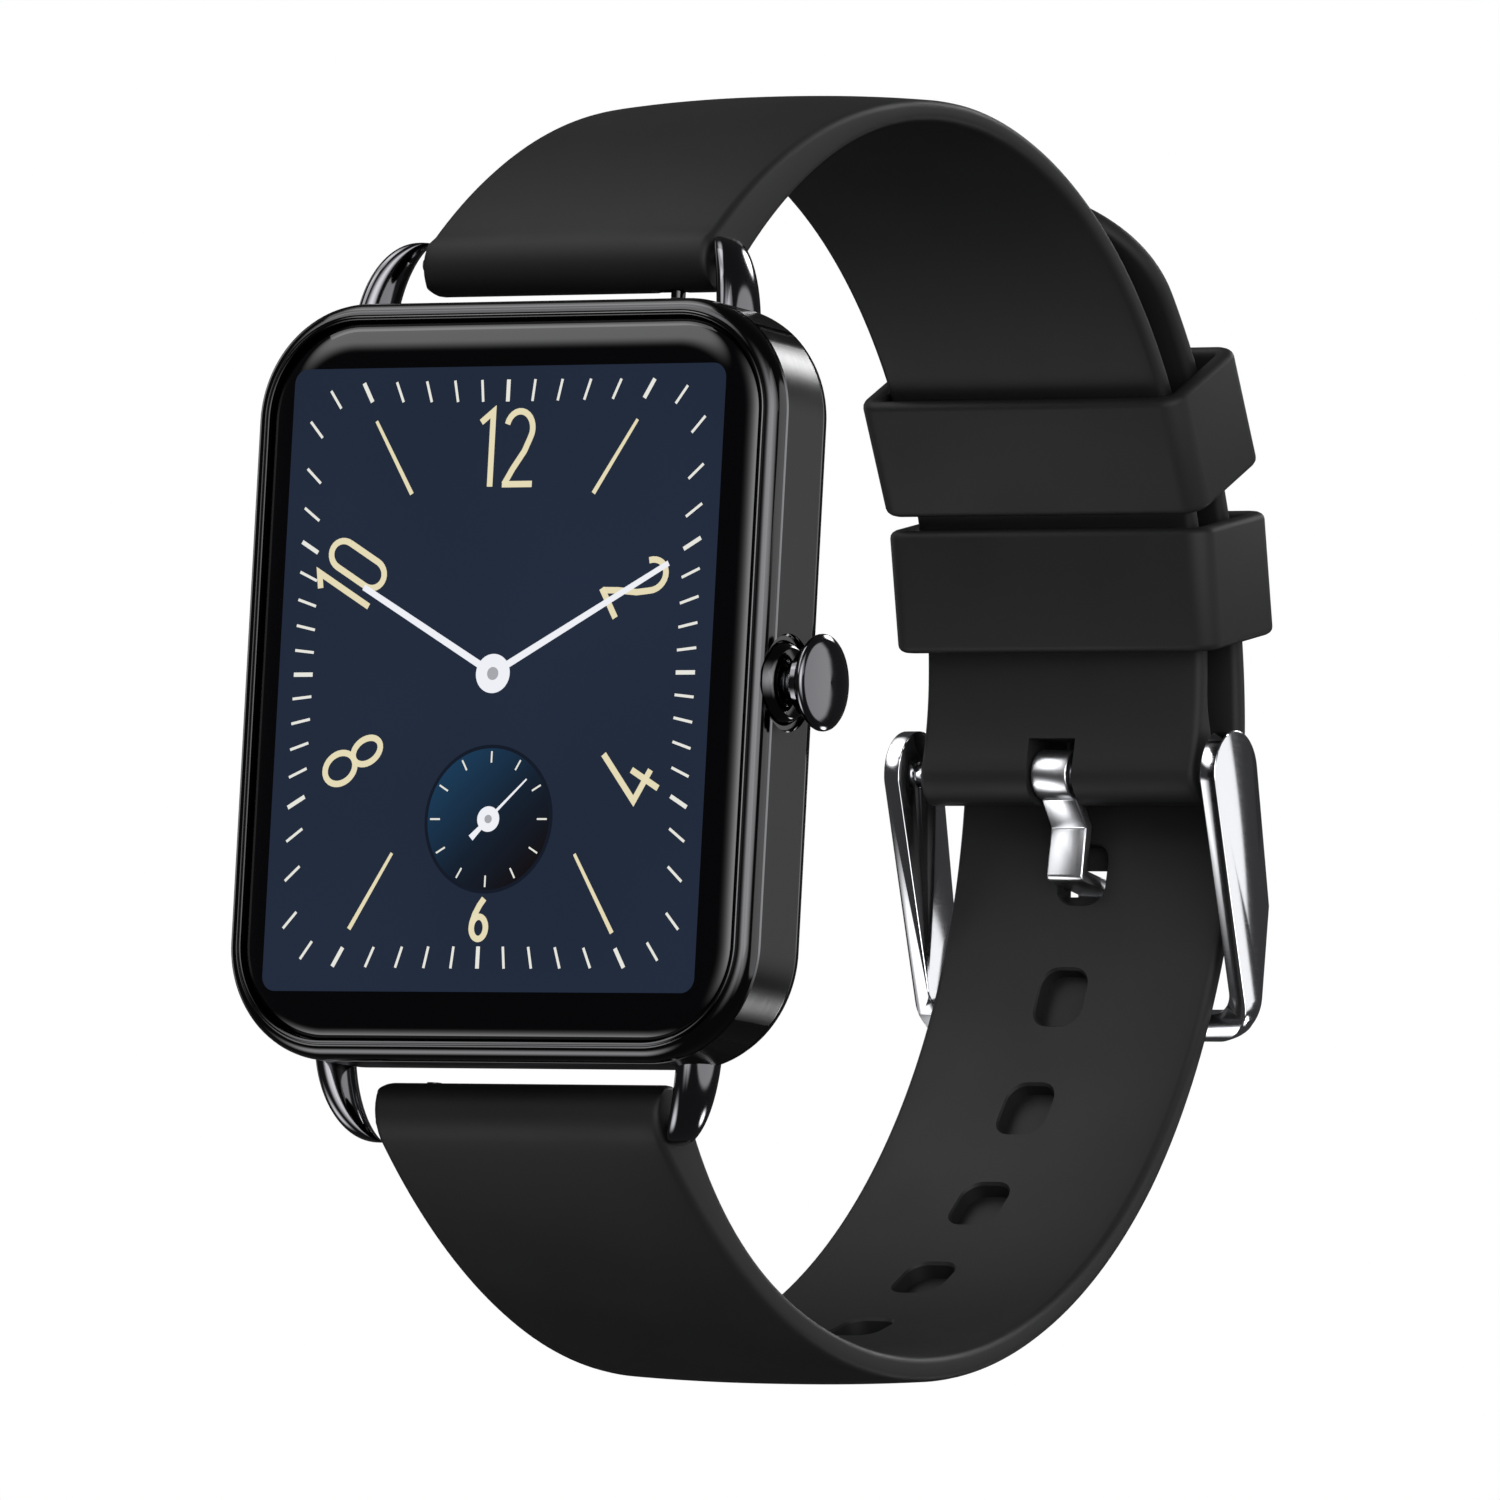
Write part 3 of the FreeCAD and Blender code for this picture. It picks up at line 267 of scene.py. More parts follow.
def sensor_gloss(looks):
    # smoked polycarbonate lens: black gloss with a violet trace from its coating
    return textured("Polycarbonate, smoked gloss", 5, 2.0, (0.04, 0.1), Roughness=0.06, IOR=1.58,
                    Base_Color=linear("#07060a"), Coat_Weight=1.0, Coat_Tint=linear("#d9d0ff"))


def gold_flash(looks):
    # brass contact pins with a gold flash: warm mirror, lightly pitted
    return textured("Brass, gold flashed", 0.3, 3.0, (0.14, 0.3), Metallic=1.0, Roughness=0.2,
                    Base_Color=linear("#d9b35c"))


def plain_inner(name, code, roughness, metallic, grain):
    """Finish of a piece inside the case, with a fine uneven roughness of a real grain size."""
    return textured(name, grain, 3.0, (roughness * 0.8, min(1.0, roughness * 1.2)), 0.01, 0.5,
                    Metallic=metallic, Roughness=roughness, Base_Color=linear(code))


# ------------------------------------------------------------------ mesh helpers
def linked(name, mesh):
    """Object at the origin with a mesh, in the scene."""
    made = bpy.data.objects.new(name, mesh)
    bpy.context.scene.collection.objects.link(made)
    return made


def new_mesh(name, points, faces, smooth_angle=30.0):
    """Object at the origin from points and faces, with normals outwards and soft shading."""
    mesh = bpy.data.meshes.new(name)
    mesh.from_pydata([tuple(p) for p in points], [], faces)
    tidied = bmesh.new()
    tidied.from_mesh(mesh)
    bmesh.ops.remove_doubles(tidied, verts=tidied.verts, dist=MERGE)
    bmesh.ops.recalc_face_normals(tidied, faces=tidied.faces)
    tidied.to_mesh(mesh)
    tidied.free()
    mesh.shade_smooth()
    mesh.set_sharp_from_angle(angle=math.radians(smooth_angle))
    return linked(name, mesh)


def lofted(name, rings, closed_rings=False, smooth_angle=30.0):
    """Skin over equal rings of points; closed_rings joins the last ring to the first."""
    count = len(rings[0])
    points = [p for ring in rings for p in ring]
    last = len(rings) if closed_rings else len(rings) - 1
    faces = []
    for i in range(last):
        here, there = i * count, (i + 1) % len(rings) * count
        faces += [(here + j, here + (j + 1) % count, there + (j + 1) % count, there + j)
                  for j in range(count)]
    if not closed_rings:
        faces.append(tuple(reversed(range(count))))
        faces.append(tuple(range((len(rings) - 1) * count, len(rings) * count)))
    return new_mesh(name, points, faces, smooth_angle)


def lathed(name, profile, centre, steps=96):
    """Solid turned about X from (outwards, radius) pairs in mm, outwards from a centre."""
    rings = []
    for step in range(steps):
        turn = FULL * step / steps
        rings.append([centre + Vector((x * MM, r * MM * math.cos(turn), r * MM * math.sin(turn)))
                      for x, r in profile])
    return lofted(name, rings, closed_rings=True)


def rounded_ring(half_wide, half_tall, corner, steps):
    """Points of a rounded rectangle in X and Z, anticlockwise."""
    ring = []
    for cx, cz, start in ((1, 1, 0), (-1, 1, 90), (-1, -1, 180), (1, -1, 270)):
        for step in range(steps + 1):
            turn = math.radians(start + 90 * step / steps)
            ring.append((cx * (half_wide - corner) + corner * math.cos(turn),
                         cz * (half_tall - corner) + corner * math.sin(turn)))
    return ring


def inset_rings(half_wide, half_tall, corner, profile, steps):
    """Rings of a rounded plate from (inset, y) pairs, all in metres."""
    rings = []
    for inset, y in profile:
        outline = rounded_ring(half_wide - inset, half_tall - inset,
                               max(corner - inset, 0.05 * MM), steps)
        rings.append([Vector((x, y, z)) for x, z in outline])
    return rings


def carved(made, cutters):
    """Takes the cutters out of a piece and applies the result."""
    for cutter in cutters:
        change = made.modifiers.new("Carve", "BOOLEAN")
        change.operation = "DIFFERENCE"
        change.solver = "EXACT"
        change.object = cutter
    flattened(made)
    for cutter in cutters:
        bpy.data.objects.remove(cutter)


def flattened(made, smooth_angle=30.0):
    """Turns the evaluated piece into a plain mesh and drops its modifiers."""
    bpy.context.view_layer.update()
    graph = bpy.context.evaluated_depsgraph_get()
    mesh = bpy.data.meshes.new_from_object(made.evaluated_get(graph))
    made.modifiers.clear()
    made.data = mesh
    mesh.name = made.name
    mesh.shade_smooth()
    mesh.set_sharp_from_angle(angle=math.radians(smooth_angle))
    return made


def fitted(made, body, slot, *nodes, material=None):
    """Gives a piece its body, its material when one is given, and the CAD nodes that it stands
    for; the slot argument is not used.
    """
    if material is not None:
        made.data.materials.clear()
        made.data.materials.append(material)
    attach(made, body)
    if nodes:
        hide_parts(*nodes)


def node_copy(name, node):
    """Clean copy of a CAD node, with coplanar triangles merged, ready for bevelling."""
    copied = bmesh.new()
    copied.from_mesh(frame["nodes"][node].data)
    bmesh.ops.remove_doubles(copied, verts=copied.verts, dist=MERGE)
    bmesh.ops.dissolve_limit(copied, angle_limit=math.radians(1.0), verts=copied.verts,
                             edges=copied.edges)
    mesh = bpy.data.meshes.new(name)
    copied.to_mesh(mesh)
    copied.free()
    return linked(name, mesh)


def softened(made, width, angle):
    """Rounds a piece's edges that are sharper than an angle in degrees."""
    change = made.modifiers.new("Soft edges", "BEVEL")
    change.width = width
    change.segments = 3
    change.limit_method = "ANGLE"
    change.angle_limit = math.radians(angle)
    change.use_clamp_overlap = True
    change.harden_normals = True
    return flattened(made)


# ------------------------------------------------------------------ Geometry Nodes
def started_tree(name, numbers, vectors=()):
    """Tree with inputs for numbers, vectors and a Finish; returns it and its input sockets."""
    tree = bpy.data.node_groups.new(name, "GeometryNodeTree")
    inputs = [("Geometry", "NodeSocketGeometry")]
    inputs += [(label, "NodeSocketFloat") for label in numbers]
    inputs += [(label, "NodeSocketVector") for label in vectors]
    for label, kind in inputs + [("Finish", "NodeSocketMaterial")]:
        tree.interface.new_socket(label, in_out="INPUT", socket_type=kind)
    tree.interface.new_socket("Geometry", in_out="OUTPUT", socket_type="NodeSocketGeometry")
    return tree, add_node(tree, "NodeGroupInput").outputs


def ended_tree(tree, start, shape):
    """Gives a tree its output: a shape made real, with the Finish material."""
    real = add_node(tree, "GeometryNodeRealizeInstances", {"Geometry": shape})
    finish = add_node(tree, "GeometryNodeSetMaterial", {"Geometry": real.outputs["Geometry"],
                                                        "Material": start["Finish"]})
    add_node(tree, "NodeGroupOutput", {"Geometry": finish.outputs["Geometry"]})
    return tree


def repeated_tree(name):
    """Instances of a small block on the points of a mesh, turned by each point's own angle."""
    tree, start = started_tree(name, ("Long", "Wide", "High"))
    size = add_node(tree, "ShaderNodeCombineXYZ", {"X": start["Wide"], "Y": start["High"],
                                                   "Z": start["Long"]})
    block = add_node(tree, "GeometryNodeMeshCube", {"Size": size.outputs["Vector"]})
    lean = add_node(tree, "GeometryNodeInputNamedAttribute", {"Name": "lean"}, data_type="FLOAT")
    grow = add_node(tree, "GeometryNodeInputNamedAttribute", {"Name": "grow"},
                    data_type="FLOAT_VECTOR")
    turn = add_node(tree, "ShaderNodeCombineXYZ", {"Y": lean.outputs["Attribute"]})
    spread = add_node(tree, "GeometryNodeInstanceOnPoints", {
        "Points": start["Geometry"], "Instance": block.outputs["Mesh"],
        "Rotation": turn.outputs["Vector"], "Scale": grow.outputs["Attribute"]})
    return ended_tree(tree, start, spread.outputs["Instances"])


def coil_tree(name):
    """Helical spring wound along X, as a tube swept along a spiral."""
    tree, start = started_tree(name, ("Turns", "Radius", "Length", "Wire"), ("Place",))
    spiral = add_node(tree, "GeometryNodeCurveSpiral", {
        "Resolution": 14, "Rotations": start["Turns"], "Start Radius": start["Radius"],
        "End Radius": start["Radius"], "Height": start["Length"]})
    section = add_node(tree, "GeometryNodeCurvePrimitiveCircle", {
        "Resolution": 6, "Radius": start["Wire"]})
    wire = add_node(tree, "GeometryNodeCurveToMesh", {
        "Curve": spiral.outputs["Curve"], "Profile Curve": section.outputs["Curve"],
        "Fill Caps": True})
    laid = add_node(tree, "GeometryNodeTransform", {
        "Geometry": wire.outputs["Mesh"], "Translation": start["Place"],
        "Rotation": (0.0, math.pi / 2, 0.0)})
    return ended_tree(tree, start, laid.outputs["Geometry"])


def grown(made, tree, **inputs):
    """Runs a tree on a piece with its named inputs set, and keeps the plain mesh."""
    change = made.modifiers.new(tree.name, "NODES")
    change.node_group = tree
    sockets = {item.name: item.identifier for item in tree.interface.items_tree
               if item.in_out == "INPUT"}
    for name, value in inputs.items():
        change[sockets[name]] = value
    return flattened(made, smooth_angle=40.0)


def marks(name, spots, long, wide, high, material):
    """Small blocks on (x, y, z, angle, width factor) spots, by Geometry Nodes."""
    mesh = bpy.data.meshes.new(name)
    mesh.from_pydata([spot[:3] for spot in spots], [], [])
    lean = mesh.attributes.new("lean", "FLOAT", "POINT")
    grow = mesh.attributes.new("grow", "FLOAT_VECTOR", "POINT")
    for i, spot in enumerate(spots):
        lean.data[i].value = spot[3]
        grow.data[i].vector = (spot[4], 1.0, 1.0)
    return grown(linked(name, mesh), repeated_tree(name + " tree"), Long=long, Wide=wide,
                 High=high, Finish=material)


# ------------------------------------------------------------------ settings
def length(name, description, size):
    """Length property whose default is given in mm."""
    return FloatProperty(name=name, description=description, default=size * MM, unit="LENGTH")


def colour(name, description, code):
    """Colour property whose default is an sRGB hex code."""
    return FloatVectorProperty(name=name, description=description, subtype="COLOR", size=4,
                               min=0.0, max=1.0, default=linear(code))


class WatchSizes(bpy.types.PropertyGroup):
    glass_round: length("Glass edge", "Width of the glass's curved edge", 2.1)
    glass_drop: length("Glass drop", "Fall of the glass at its edge", 0.75)
    display_wide: length("Display width", "Lit area across", 30.7)
    display_tall: length("Display height", "Lit area along", 38.3)
    display_corner: length("Display corner", "Corner radius of the lit area", 0.9)
    track_wide: length("Minute track width", "Width through the ticks' middles", 27.2)
    track_tall: length("Minute track height", "Height through the ticks' middles", 34.7)
    tick_long: length("Tick length", "Length of a minute tick", 1.35)
    tick_wide: length("Tick width", "Width of a minute tick", 0.17)
    numeral_tall: length("Numeral height", "Height of the large numerals", 4.75)
    numeral_line: length("Numeral line", "Line width of the numerals", 0.39)
    subdial_radius: length("Small dial radius", "Radius of the small dial", 4.55)
    coil_turns: IntProperty(name="Spring turns", description="Turns of each spring bar's coil",
                            default=26, min=4, max=60)


class WatchLooks(bpy.types.PropertyGroup):
    chrome: colour("Case plating", "Colour of the polished plating", "#404041")
    # the crown and lugs share a lighter copy of the case's black chrome, painted brighter to stand
    # in for their highlights
    chrome_painted_bright: colour("Crown and lugs", "Lighter copy of the case plating, painted bright for highlights", "#67676a")
    satin: colour("Case side", "Colour of the brushed plating", "#3e3e3f")
    silicone: colour("Strap", "Darker tint of the silicone", "#141415")
    silicone_light: colour("Strap, lighter", "Lighter tint of the silicone", "#19191a")
    steel: colour("Buckle", "Colour of the polished steel", "#d2d3d6")
    navy: colour("Dial", "Darker tint of the dial's ground", "#1e2738")
    navy_light: colour("Dial, lighter", "Lighter tint of the dial's ground", "#242e40")
    petrol: colour("Small dial", "Light end of the small dial's gradient", "#1a3a56")


# finishes made with the looks chosen in the panel
MAKERS = {
    "black_chrome": lambda looks: black_chrome("Black chrome, polished", looks.chrome),
    # lighter copy of the same plating, painted brighter to stand in for highlights on the crown
    # and lugs
    "chrome_painted_brighter": lambda looks: black_chrome("Black chrome, painted brighter", looks.chrome_painted_bright),
    "satin": satin_chrome, "glass": cover_glass_black, "navy": display_navy,
    "subdial": subdial_navy, "silicone": strap_silicone, "steel": polished_steel,
    "brushed": brushed_steel, "turned": turned_steel, "back": moulded_back,
    "sensor": sensor_gloss, "gold": gold_flash,
}
# inks of the lit display: name and colour
INKS = {
    "tick": ("Lit display, tick white", "#e6e6de"),
    "cream": ("Lit display, numeral cream", "#e4dab6"),
    "hand": ("Lit display, hand white", "#eef0f6"),
    "hub": ("Lit display, hub grey", "#a5a7ac"),
    "shade": ("Lit display, small dial rim", "#131a27"),
}
# pieces inside the case: name, colour, roughness, metallic and grain in mm
INNER = {
    # nitrile and foam seals: soft dull black
    "seal": ("Nitrile rubber, moulded", "#0c0c0c", 0.7, 0.0, 0.2),
    # laminated display back: dark glass film
    "panel": ("Display laminate, dark", "#05070c", 0.2, 0.0, 4.0),
    # die-cast and milled chassis: pale grey with tumbling marks
    "alloy": ("Aluminium, milled", "#9fa1a6", 0.4, 1.0, 0.4),
    # pouch cell: crimped bright foil
    "foil": ("Aluminium foil, pouch", "#c3c5c9", 0.3, 1.0, 1.5),
    # glass-epoxy board: green solder mask over weave
    "board": ("Glass epoxy, green mask", "#12492a", 0.35, 0.0, 0.5),
    # moulded chip packages: sooty grey epoxy
    "resin": ("Epoxy resin, moulded", "#1b1b1d", 0.6, 0.0, 0.15),
}
MATERIALS = {}


def finish_of(name):
    """Each material is made once, when the first piece asks for it."""
    if name not in MATERIALS:
        if name in INKS:
            MATERIALS[name] = lit(*INKS[name])[0]
        elif name in INNER:
            MATERIALS[name] = plain_inner(*INNER[name])
        else:
            MATERIALS[name] = MAKERS[name](bpy.context.scene.watch_looks)
    return MATERIALS[name]


# ------------------------------------------------------------------ case
CASE_CORNER = 7.2 * MM
# (inset, depth) pairs in mm round the case's wall, from the glass seat outwards and back
FRONT = [(1.15, 0.55), (1.15, 0.14), (1.12, 0.06), (1.05, 0.02), (0.97, 0.02), (0.92, 0.06),
         (0.9, 0.13), (0.86, 0.13), (0.8, 0.1), (0.66, 0.12), (0.5, 0.19), (0.34, 0.32),
         (0.2, 0.5), (0.1, 0.72), (0.03, 0.98), (0.0, 1.25)]
GROOVE = [(0.05, 1.28), (0.1, 1.34), (0.1, 1.46), (0.05, 1.52)]
BAND = [(0.0, 1.56), (0.0, 5.7)]
BACK = [(0.03, 5.74), (0.03, 5.8), (0.0, 5.84), (0.04, 6.1), (0.16, 6.4), (0.36, 6.7),
        (0.62, 6.95), (0.9, 7.12), (1.12, 7.2)]
INSIDE = [(2.1, 7.2), (2.1, 1.15), (1.15, 1.15)]


class WATCH_OT_case(bpy.types.Operator):
    """Case shell with a polished front, a satin side band and the crown's recess"""
    bl_idname = "watch.case"
    bl_label = "Case shell"

    def execute(self, context):
        half = CASE.size / 2
        profile = [(inset * MM, CASE.low.y + depth * MM)
                   for inset, depth in FRONT + GROOVE + BAND + BACK + INSIDE]
        shell = lofted("Case_shell", inset_rings(half.x, half.z, CASE_CORNER, profile, 28),
                       closed_rings=True, smooth_angle=35.0)
        shell.data.materials.append(finish_of("black_chrome"))
        shell.data.materials.append(finish_of("satin"))
        low, high = (CASE.low.y + depth * MM for inset, depth in BAND)
        wall, close = 1.5 * MM, 1e-6
        for face in shell.data.polygons:
            at, out = face.center, face.normal
            in_band = low - close < at.y < high + close and abs(out.y) < 0.1
            sideways = max(abs(out.x), abs(out.z)) > 0.5
            outer = abs(at.x) >= half.x - wall or abs(at.z) >= half.z - wall
            if in_band and sideways and outer and face.area > 0:
                face.material_index = 1
        axis = Vector((half.x, CROWN.middle.y, CROWN.middle.z))
        recess = lathed("Recess", [(-0.3, 0.0), (-0.3, 2.86), (-0.1, 2.92), (0.06, 3.02),
                                   (0.5, 3.05), (0.5, 0.0)], axis)
        bore = lathed("Bore", [(-3.0, 0.0), (-3.0, 1.92), (0.1, 1.92), (0.1, 0.0)], axis)
        for cutter in (recess, bore):
            cutter.data.materials.append(finish_of("black_chrome"))
        carved(shell, [recess, bore])
        fitted(shell, "case", "black_chrome", "case_frame")
        return {"FINISHED"}


class WATCH_OT_glass(bpy.types.Operator):
    """Cover glass with a curved edge, printed black behind"""
    bl_idname = "watch.glass"
    bl_label = "Cover glass"

    def execute(self, context):
        sizes = context.scene.watch_sizes
        half = GLASS.size / 2
        front, back = GLASS.low.y, GLASS.high.y
        wide, drop, corner, steps = sizes.glass_round, sizes.glass_drop, 6.0 * MM, 14
        profile = [(0.0, back), (0.0, front + drop)]
        for step in range(1, steps + 1):
            turn = math.radians(90 * step / steps)
            # a little flatter than a quarter of an ellipse
            profile.append((wide * (1 - math.cos(turn)) ** 1.15,
                            front + drop * (1 - math.sin(turn))))
        glass = lofted("Cover_glass_slab", inset_rings(half.x, half.z, corner, profile, 24),
                       smooth_angle=50.0)
        fitted(glass, "case", "cover_glass", "cover_glass", material=finish_of("glass"))
        return {"FINISHED"}


# ------------------------------------------------------------------ dial
LAYER = 0.008 * MM
PLATE = LAYER * 0.9
HUB = (-0.35 * MM, 0.3 * MM)
SUBDIAL = (HUB[0] + 0.24 * MM, HUB[1] - 8.9 * MM)
# figures: text, height factor, place from the hub in mm, clockwise turn
NUMERALS = [("12", 0.97, (-0.12, 13.76), 0.0), ("2", 0.96, (9.78, 5.33), 60.0),
            ("4", 0.94, (9.95, -6.3), -60.0), ("6", 0.53, (-0.06, -14.96), 0.0),
            ("8", 0.9, (-9.69, -5.27), 60.0), ("10", 0.89, (-10.6, 5.9), -60.0)]
FIGURE_PITCH = 0.47
# lines at 11, 1, 7 and 5 o'clock: start and end from the hub in mm
BATONS = [((-9.31, 15.58), (-6.5, 11.06)), ((9.29, 15.47), (6.43, 10.98)),
          ((-6.52, -10.98), (-9.31, -15.64)), ((6.46, -11.03), (9.4, -15.83))]
BOLD_TICK = 1.55


def dial_y(layer):
    """Height of a printed layer of the dial, just proud of the glass."""
    return GLASS.low.y - layer * LAYER


def from_hub(x, z, middle=HUB):
    """Point of the dial, in metres, from its place in mm from the hub."""
    return (middle[0] + x * MM, middle[1] + z * MM)


def flat_shape(name, outline, layer, material):
    """Thin plate from an outline in X and Z, on a layer of the dial."""
    rings = [[Vector((x, dial_y(layer) + shift, z)) for x, z in outline]
             for shift in (PLATE, 0.0)]
    fitted(lofted(name, rings), "case", "display", material=material)


def disc(radius, centre, steps=72):
    return [(centre[0] + radius * math.cos(FULL * i / steps),
             centre[1] + radius * math.sin(FULL * i / steps)) for i in range(steps)]


def arc(cx, cz, rx, rz, first, last, steps=14):
    """Points on an ellipse between two angles in degrees."""
    return [(cx + rx * math.cos(math.radians(first + (last - first) * i / steps)),
             cz + rz * math.sin(math.radians(first + (last - first) * i / steps)))
            for i in range(steps + 1)]


# half the width of a figure, and each figure's centre lines in a box 1 high, as polylines
HALF = 0.2
FIGURES = {
    "0": [arc(0, 0.78, HALF, 0.22, 0, 180) + arc(0, 0.22, HALF, 0.22, 180, 360) + [(HALF, 0.78)]],
    "1": [[(-0.13, 0.86), (0.05, 1.0), (0.05, 0.0)]],
    "2": [arc(0, 0.77, HALF, 0.23, 165, -30) + [(0.09, 0.47), (-0.08, 0.23), (-HALF, 0.03)],
          [(-HALF - 0.03, 0.03), (HALF + 0.03, 0.03)]],
    "4": [[(0.06, 1.0), (-HALF - 0.04, 0.24), (HALF + 0.05, 0.24)], [(0.1, 0.5), (0.1, 0.0)]],
    "6": [[(0.12, 0.98), (0.0, 0.82), (-0.12, 0.6), (-0.185, 0.4)]
          + arc(0, 0.27, HALF, 0.27, 165, 525, 30)],
    "8": [arc(0, 0.26, HALF + 0.01, 0.26, 90, 450, 30),
          arc(0, 0.76, HALF - 0.03, 0.24, -90, 270, 30)],
}


def ribbon(path, line):
    """Left and right edges of a line of even width along a path."""
    left, right = [], []
    for i, (x, z) in enumerate(path):
        before, after = path[max(i - 1, 0)], path[min(i + 1, len(path) - 1)]
        a = Vector((x - before[0], z - before[1]))
        b = Vector((after[0] - x, after[1] - z))
        a = a.normalized() if a.length > 1e-9 else b.normalized()
        b = b.normalized() if b.length > 1e-9 else a
        normal = Vector((-(a.y + b.y), a.x + b.x)).normalized()
        reach = line / 2 / max(0.4, normal.dot(Vector((-a.y, a.x))))
        left.append((x + normal.x * reach, z + normal.y * reach))
        right.append((x - normal.x * reach, z - normal.y * reach))
    return left, right


def drawn_lines(name, paths, line, layer, material):
    """Thin raised ribbons along paths in X and Z."""
    points, faces = [], []
    for path in paths:
        left, right = ribbon(path, line)
        base, count = len(points), len(path)
        for shift in (0.0, PLATE):
            points += [(x, dial_y(layer) + shift, z) for x, z in left + right]
        behind = 2 * count
        for i in range(base, base + count - 1):
            a, b, c, d = i, i + 1, i + count + 1, i + count
            faces += [(a, b, c, d), (a + behind, d + behind, c + behind, b + behind),
                      (a, a + behind, b + behind, b), (d, c, c + behind, d + behind)]
        for i in (base, base + count - 1):
            faces.append((i, i + count, i + count + behind, i + behind))
    fitted(new_mesh(name, points, faces), "case", "display", material=material)


def turned_path(path, tall, centre, turn):
    """Figure path scaled to a height, centred, turned anticlockwise and put in place."""
    spots = []
    for x, z in path:
        x, z = x * tall, (z - 0.5) * tall
        spots.append((centre[0] + x * math.cos(turn) - z * math.sin(turn),
                      centre[1] + x * math.sin(turn) + z * math.cos(turn)))
    return spots


def numeral_paths(text, tall, place, turn):
    """Paths of a number, its figures side by side about a place on the dial."""
    paths = []
    for i, figure in enumerate(text):
        offset = (i - (len(text) - 1) / 2) * (FIGURE_PITCH * tall)
        centre = (place[0] + offset * math.cos(turn), place[1] + offset * math.sin(turn))
        paths += [turned_path(path, tall, centre, turn) for path in FIGURES[figure]]
    return paths


def tapered(start, end, start_wide, end_wide):
    """Outline of a hand or baton between two points, with a width in mm at each end."""
    along = Vector((end[0] - start[0], end[1] - start[1])).normalized()
    side = Vector((-along.y, along.x))
    corners = []
    for spot, wide, way in ((start, start_wide, 1), (start, start_wide, -1),
                            (end, end_wide, -1), (end, end_wide, 1)):
        reach = way * (wide * MM) / 2
        corners.append((spot[0] + side.x * reach, spot[1] + side.y * reach))
    return corners


class WATCH_OT_dial(bpy.types.Operator):
    """Lit dial: navy ground, minute track, numerals, batons and the small dial"""
    bl_idname = "watch.dial"
    bl_label = "Dial"

    def execute(self, context):
        sizes = context.scene.watch_sizes
        ground = [(HUB[0] + x, z) for x, z in rounded_ring(
            sizes.display_wide / 2, sizes.display_tall / 2, sizes.display_corner, 8)]
        flat_shape("Dial_ground", ground, 1, finish_of("navy"))

        half_wide, half_tall = sizes.track_wide / 2, sizes.track_tall / 2
        # the track's corners are cut back a little, so that no tick lies in the corner
        farthest = math.hypot(half_wide, half_tall) * 0.95
        spots = []
        for minute in range(60):
            turn = math.radians(6 * minute)
            away = Vector((math.sin(turn), math.cos(turn)))
            reach = min(half_wide / max(abs(away.x), 1e-6), half_tall / max(abs(away.y), 1e-6))
            middle = away * min(reach, farthest)
            spots.append((HUB[0] + middle.x, dial_y(2), HUB[1] + middle.y, turn,
                          BOLD_TICK if minute % 5 == 0 else 1.0))
        track = marks("Minute_track", spots, sizes.tick_long, sizes.tick_wide, LAYER,
                      finish_of("tick"))
        fitted(track, "case", "display")

        paths = []
        for text, factor, place, degrees in NUMERALS:
            paths += numeral_paths(text, sizes.numeral_tall * factor, from_hub(*place),
                                   math.radians(-degrees))
        drawn_lines("Numerals", paths, sizes.numeral_line, 2, finish_of("cream"))
        for i, (start, end) in enumerate(BATONS):
            outline = tapered(from_hub(*start), from_hub(*end), 0.2, 0.28)
            flat_shape("Baton_%d" % i, outline, 2, finish_of("cream"))

        radius, rim, track_in = sizes.subdial_radius, 0.22 * MM, 0.75 * MM
        flat_shape("Small_dial_rim", disc(radius, SUBDIAL), 2, finish_of("shade"))
        flat_shape("Small_dial_ground", disc(radius - rim, SUBDIAL), 3, finish_of("subdial"))
        spots = []
        for mark in range(12):
            turn, reach = FULL * mark / 12, radius - track_in
            spots.append((SUBDIAL[0] + reach * math.sin(turn), dial_y(4),
                          SUBDIAL[1] + reach * math.cos(turn), turn, 1.0))
        small = marks("Small_track", spots, 0.7 * MM, 0.11 * MM, LAYER, finish_of("tick"))
        fitted(small, "case", "display")
        return {"FINISHED"}


class WATCH_OT_hands(bpy.types.Operator):
    """Hour, minute and small hands with their hubs"""
    bl_idname = "watch.hands"
    bl_label = "Hands"

    def execute(self, context):
        white, grey = finish_of("hand"), finish_of("hub")

        def hand(name, middle, tip, start_wide, end_wide, layer):
            outline = tapered(middle, from_hub(*tip, middle), start_wide, end_wide)
            flat_shape(name, outline, layer, white)

        def cap(name, radius, middle, layer, finish):
            flat_shape(name, disc(radius * MM, middle), layer, finish)

        # sizes and the places of the tips are in mm
        hand("Hour_hand", HUB, (-9.58, 5.36), 0.46, 0.38, 3)
        hand("Minute_hand", HUB, (12.02, 6.66), 0.46, 0.34, 4)
        cap("Hub_ring", 1.2, HUB, 5, white)
        cap("Hub_cap", 0.4, HUB, 6, grey)
        hand("Small_hand", SUBDIAL, (2.57, 2.44), 0.2, 0.1, 5)
        hand("Small_tail", SUBDIAL, (-1.18, -1.16), 0.2, 0.42, 5)
        cap("Small_hub", 0.78, SUBDIAL, 6, white)
        cap("Small_hub_cap", 0.26, SUBDIAL, 7, grey)
        return {"FINISHED"}


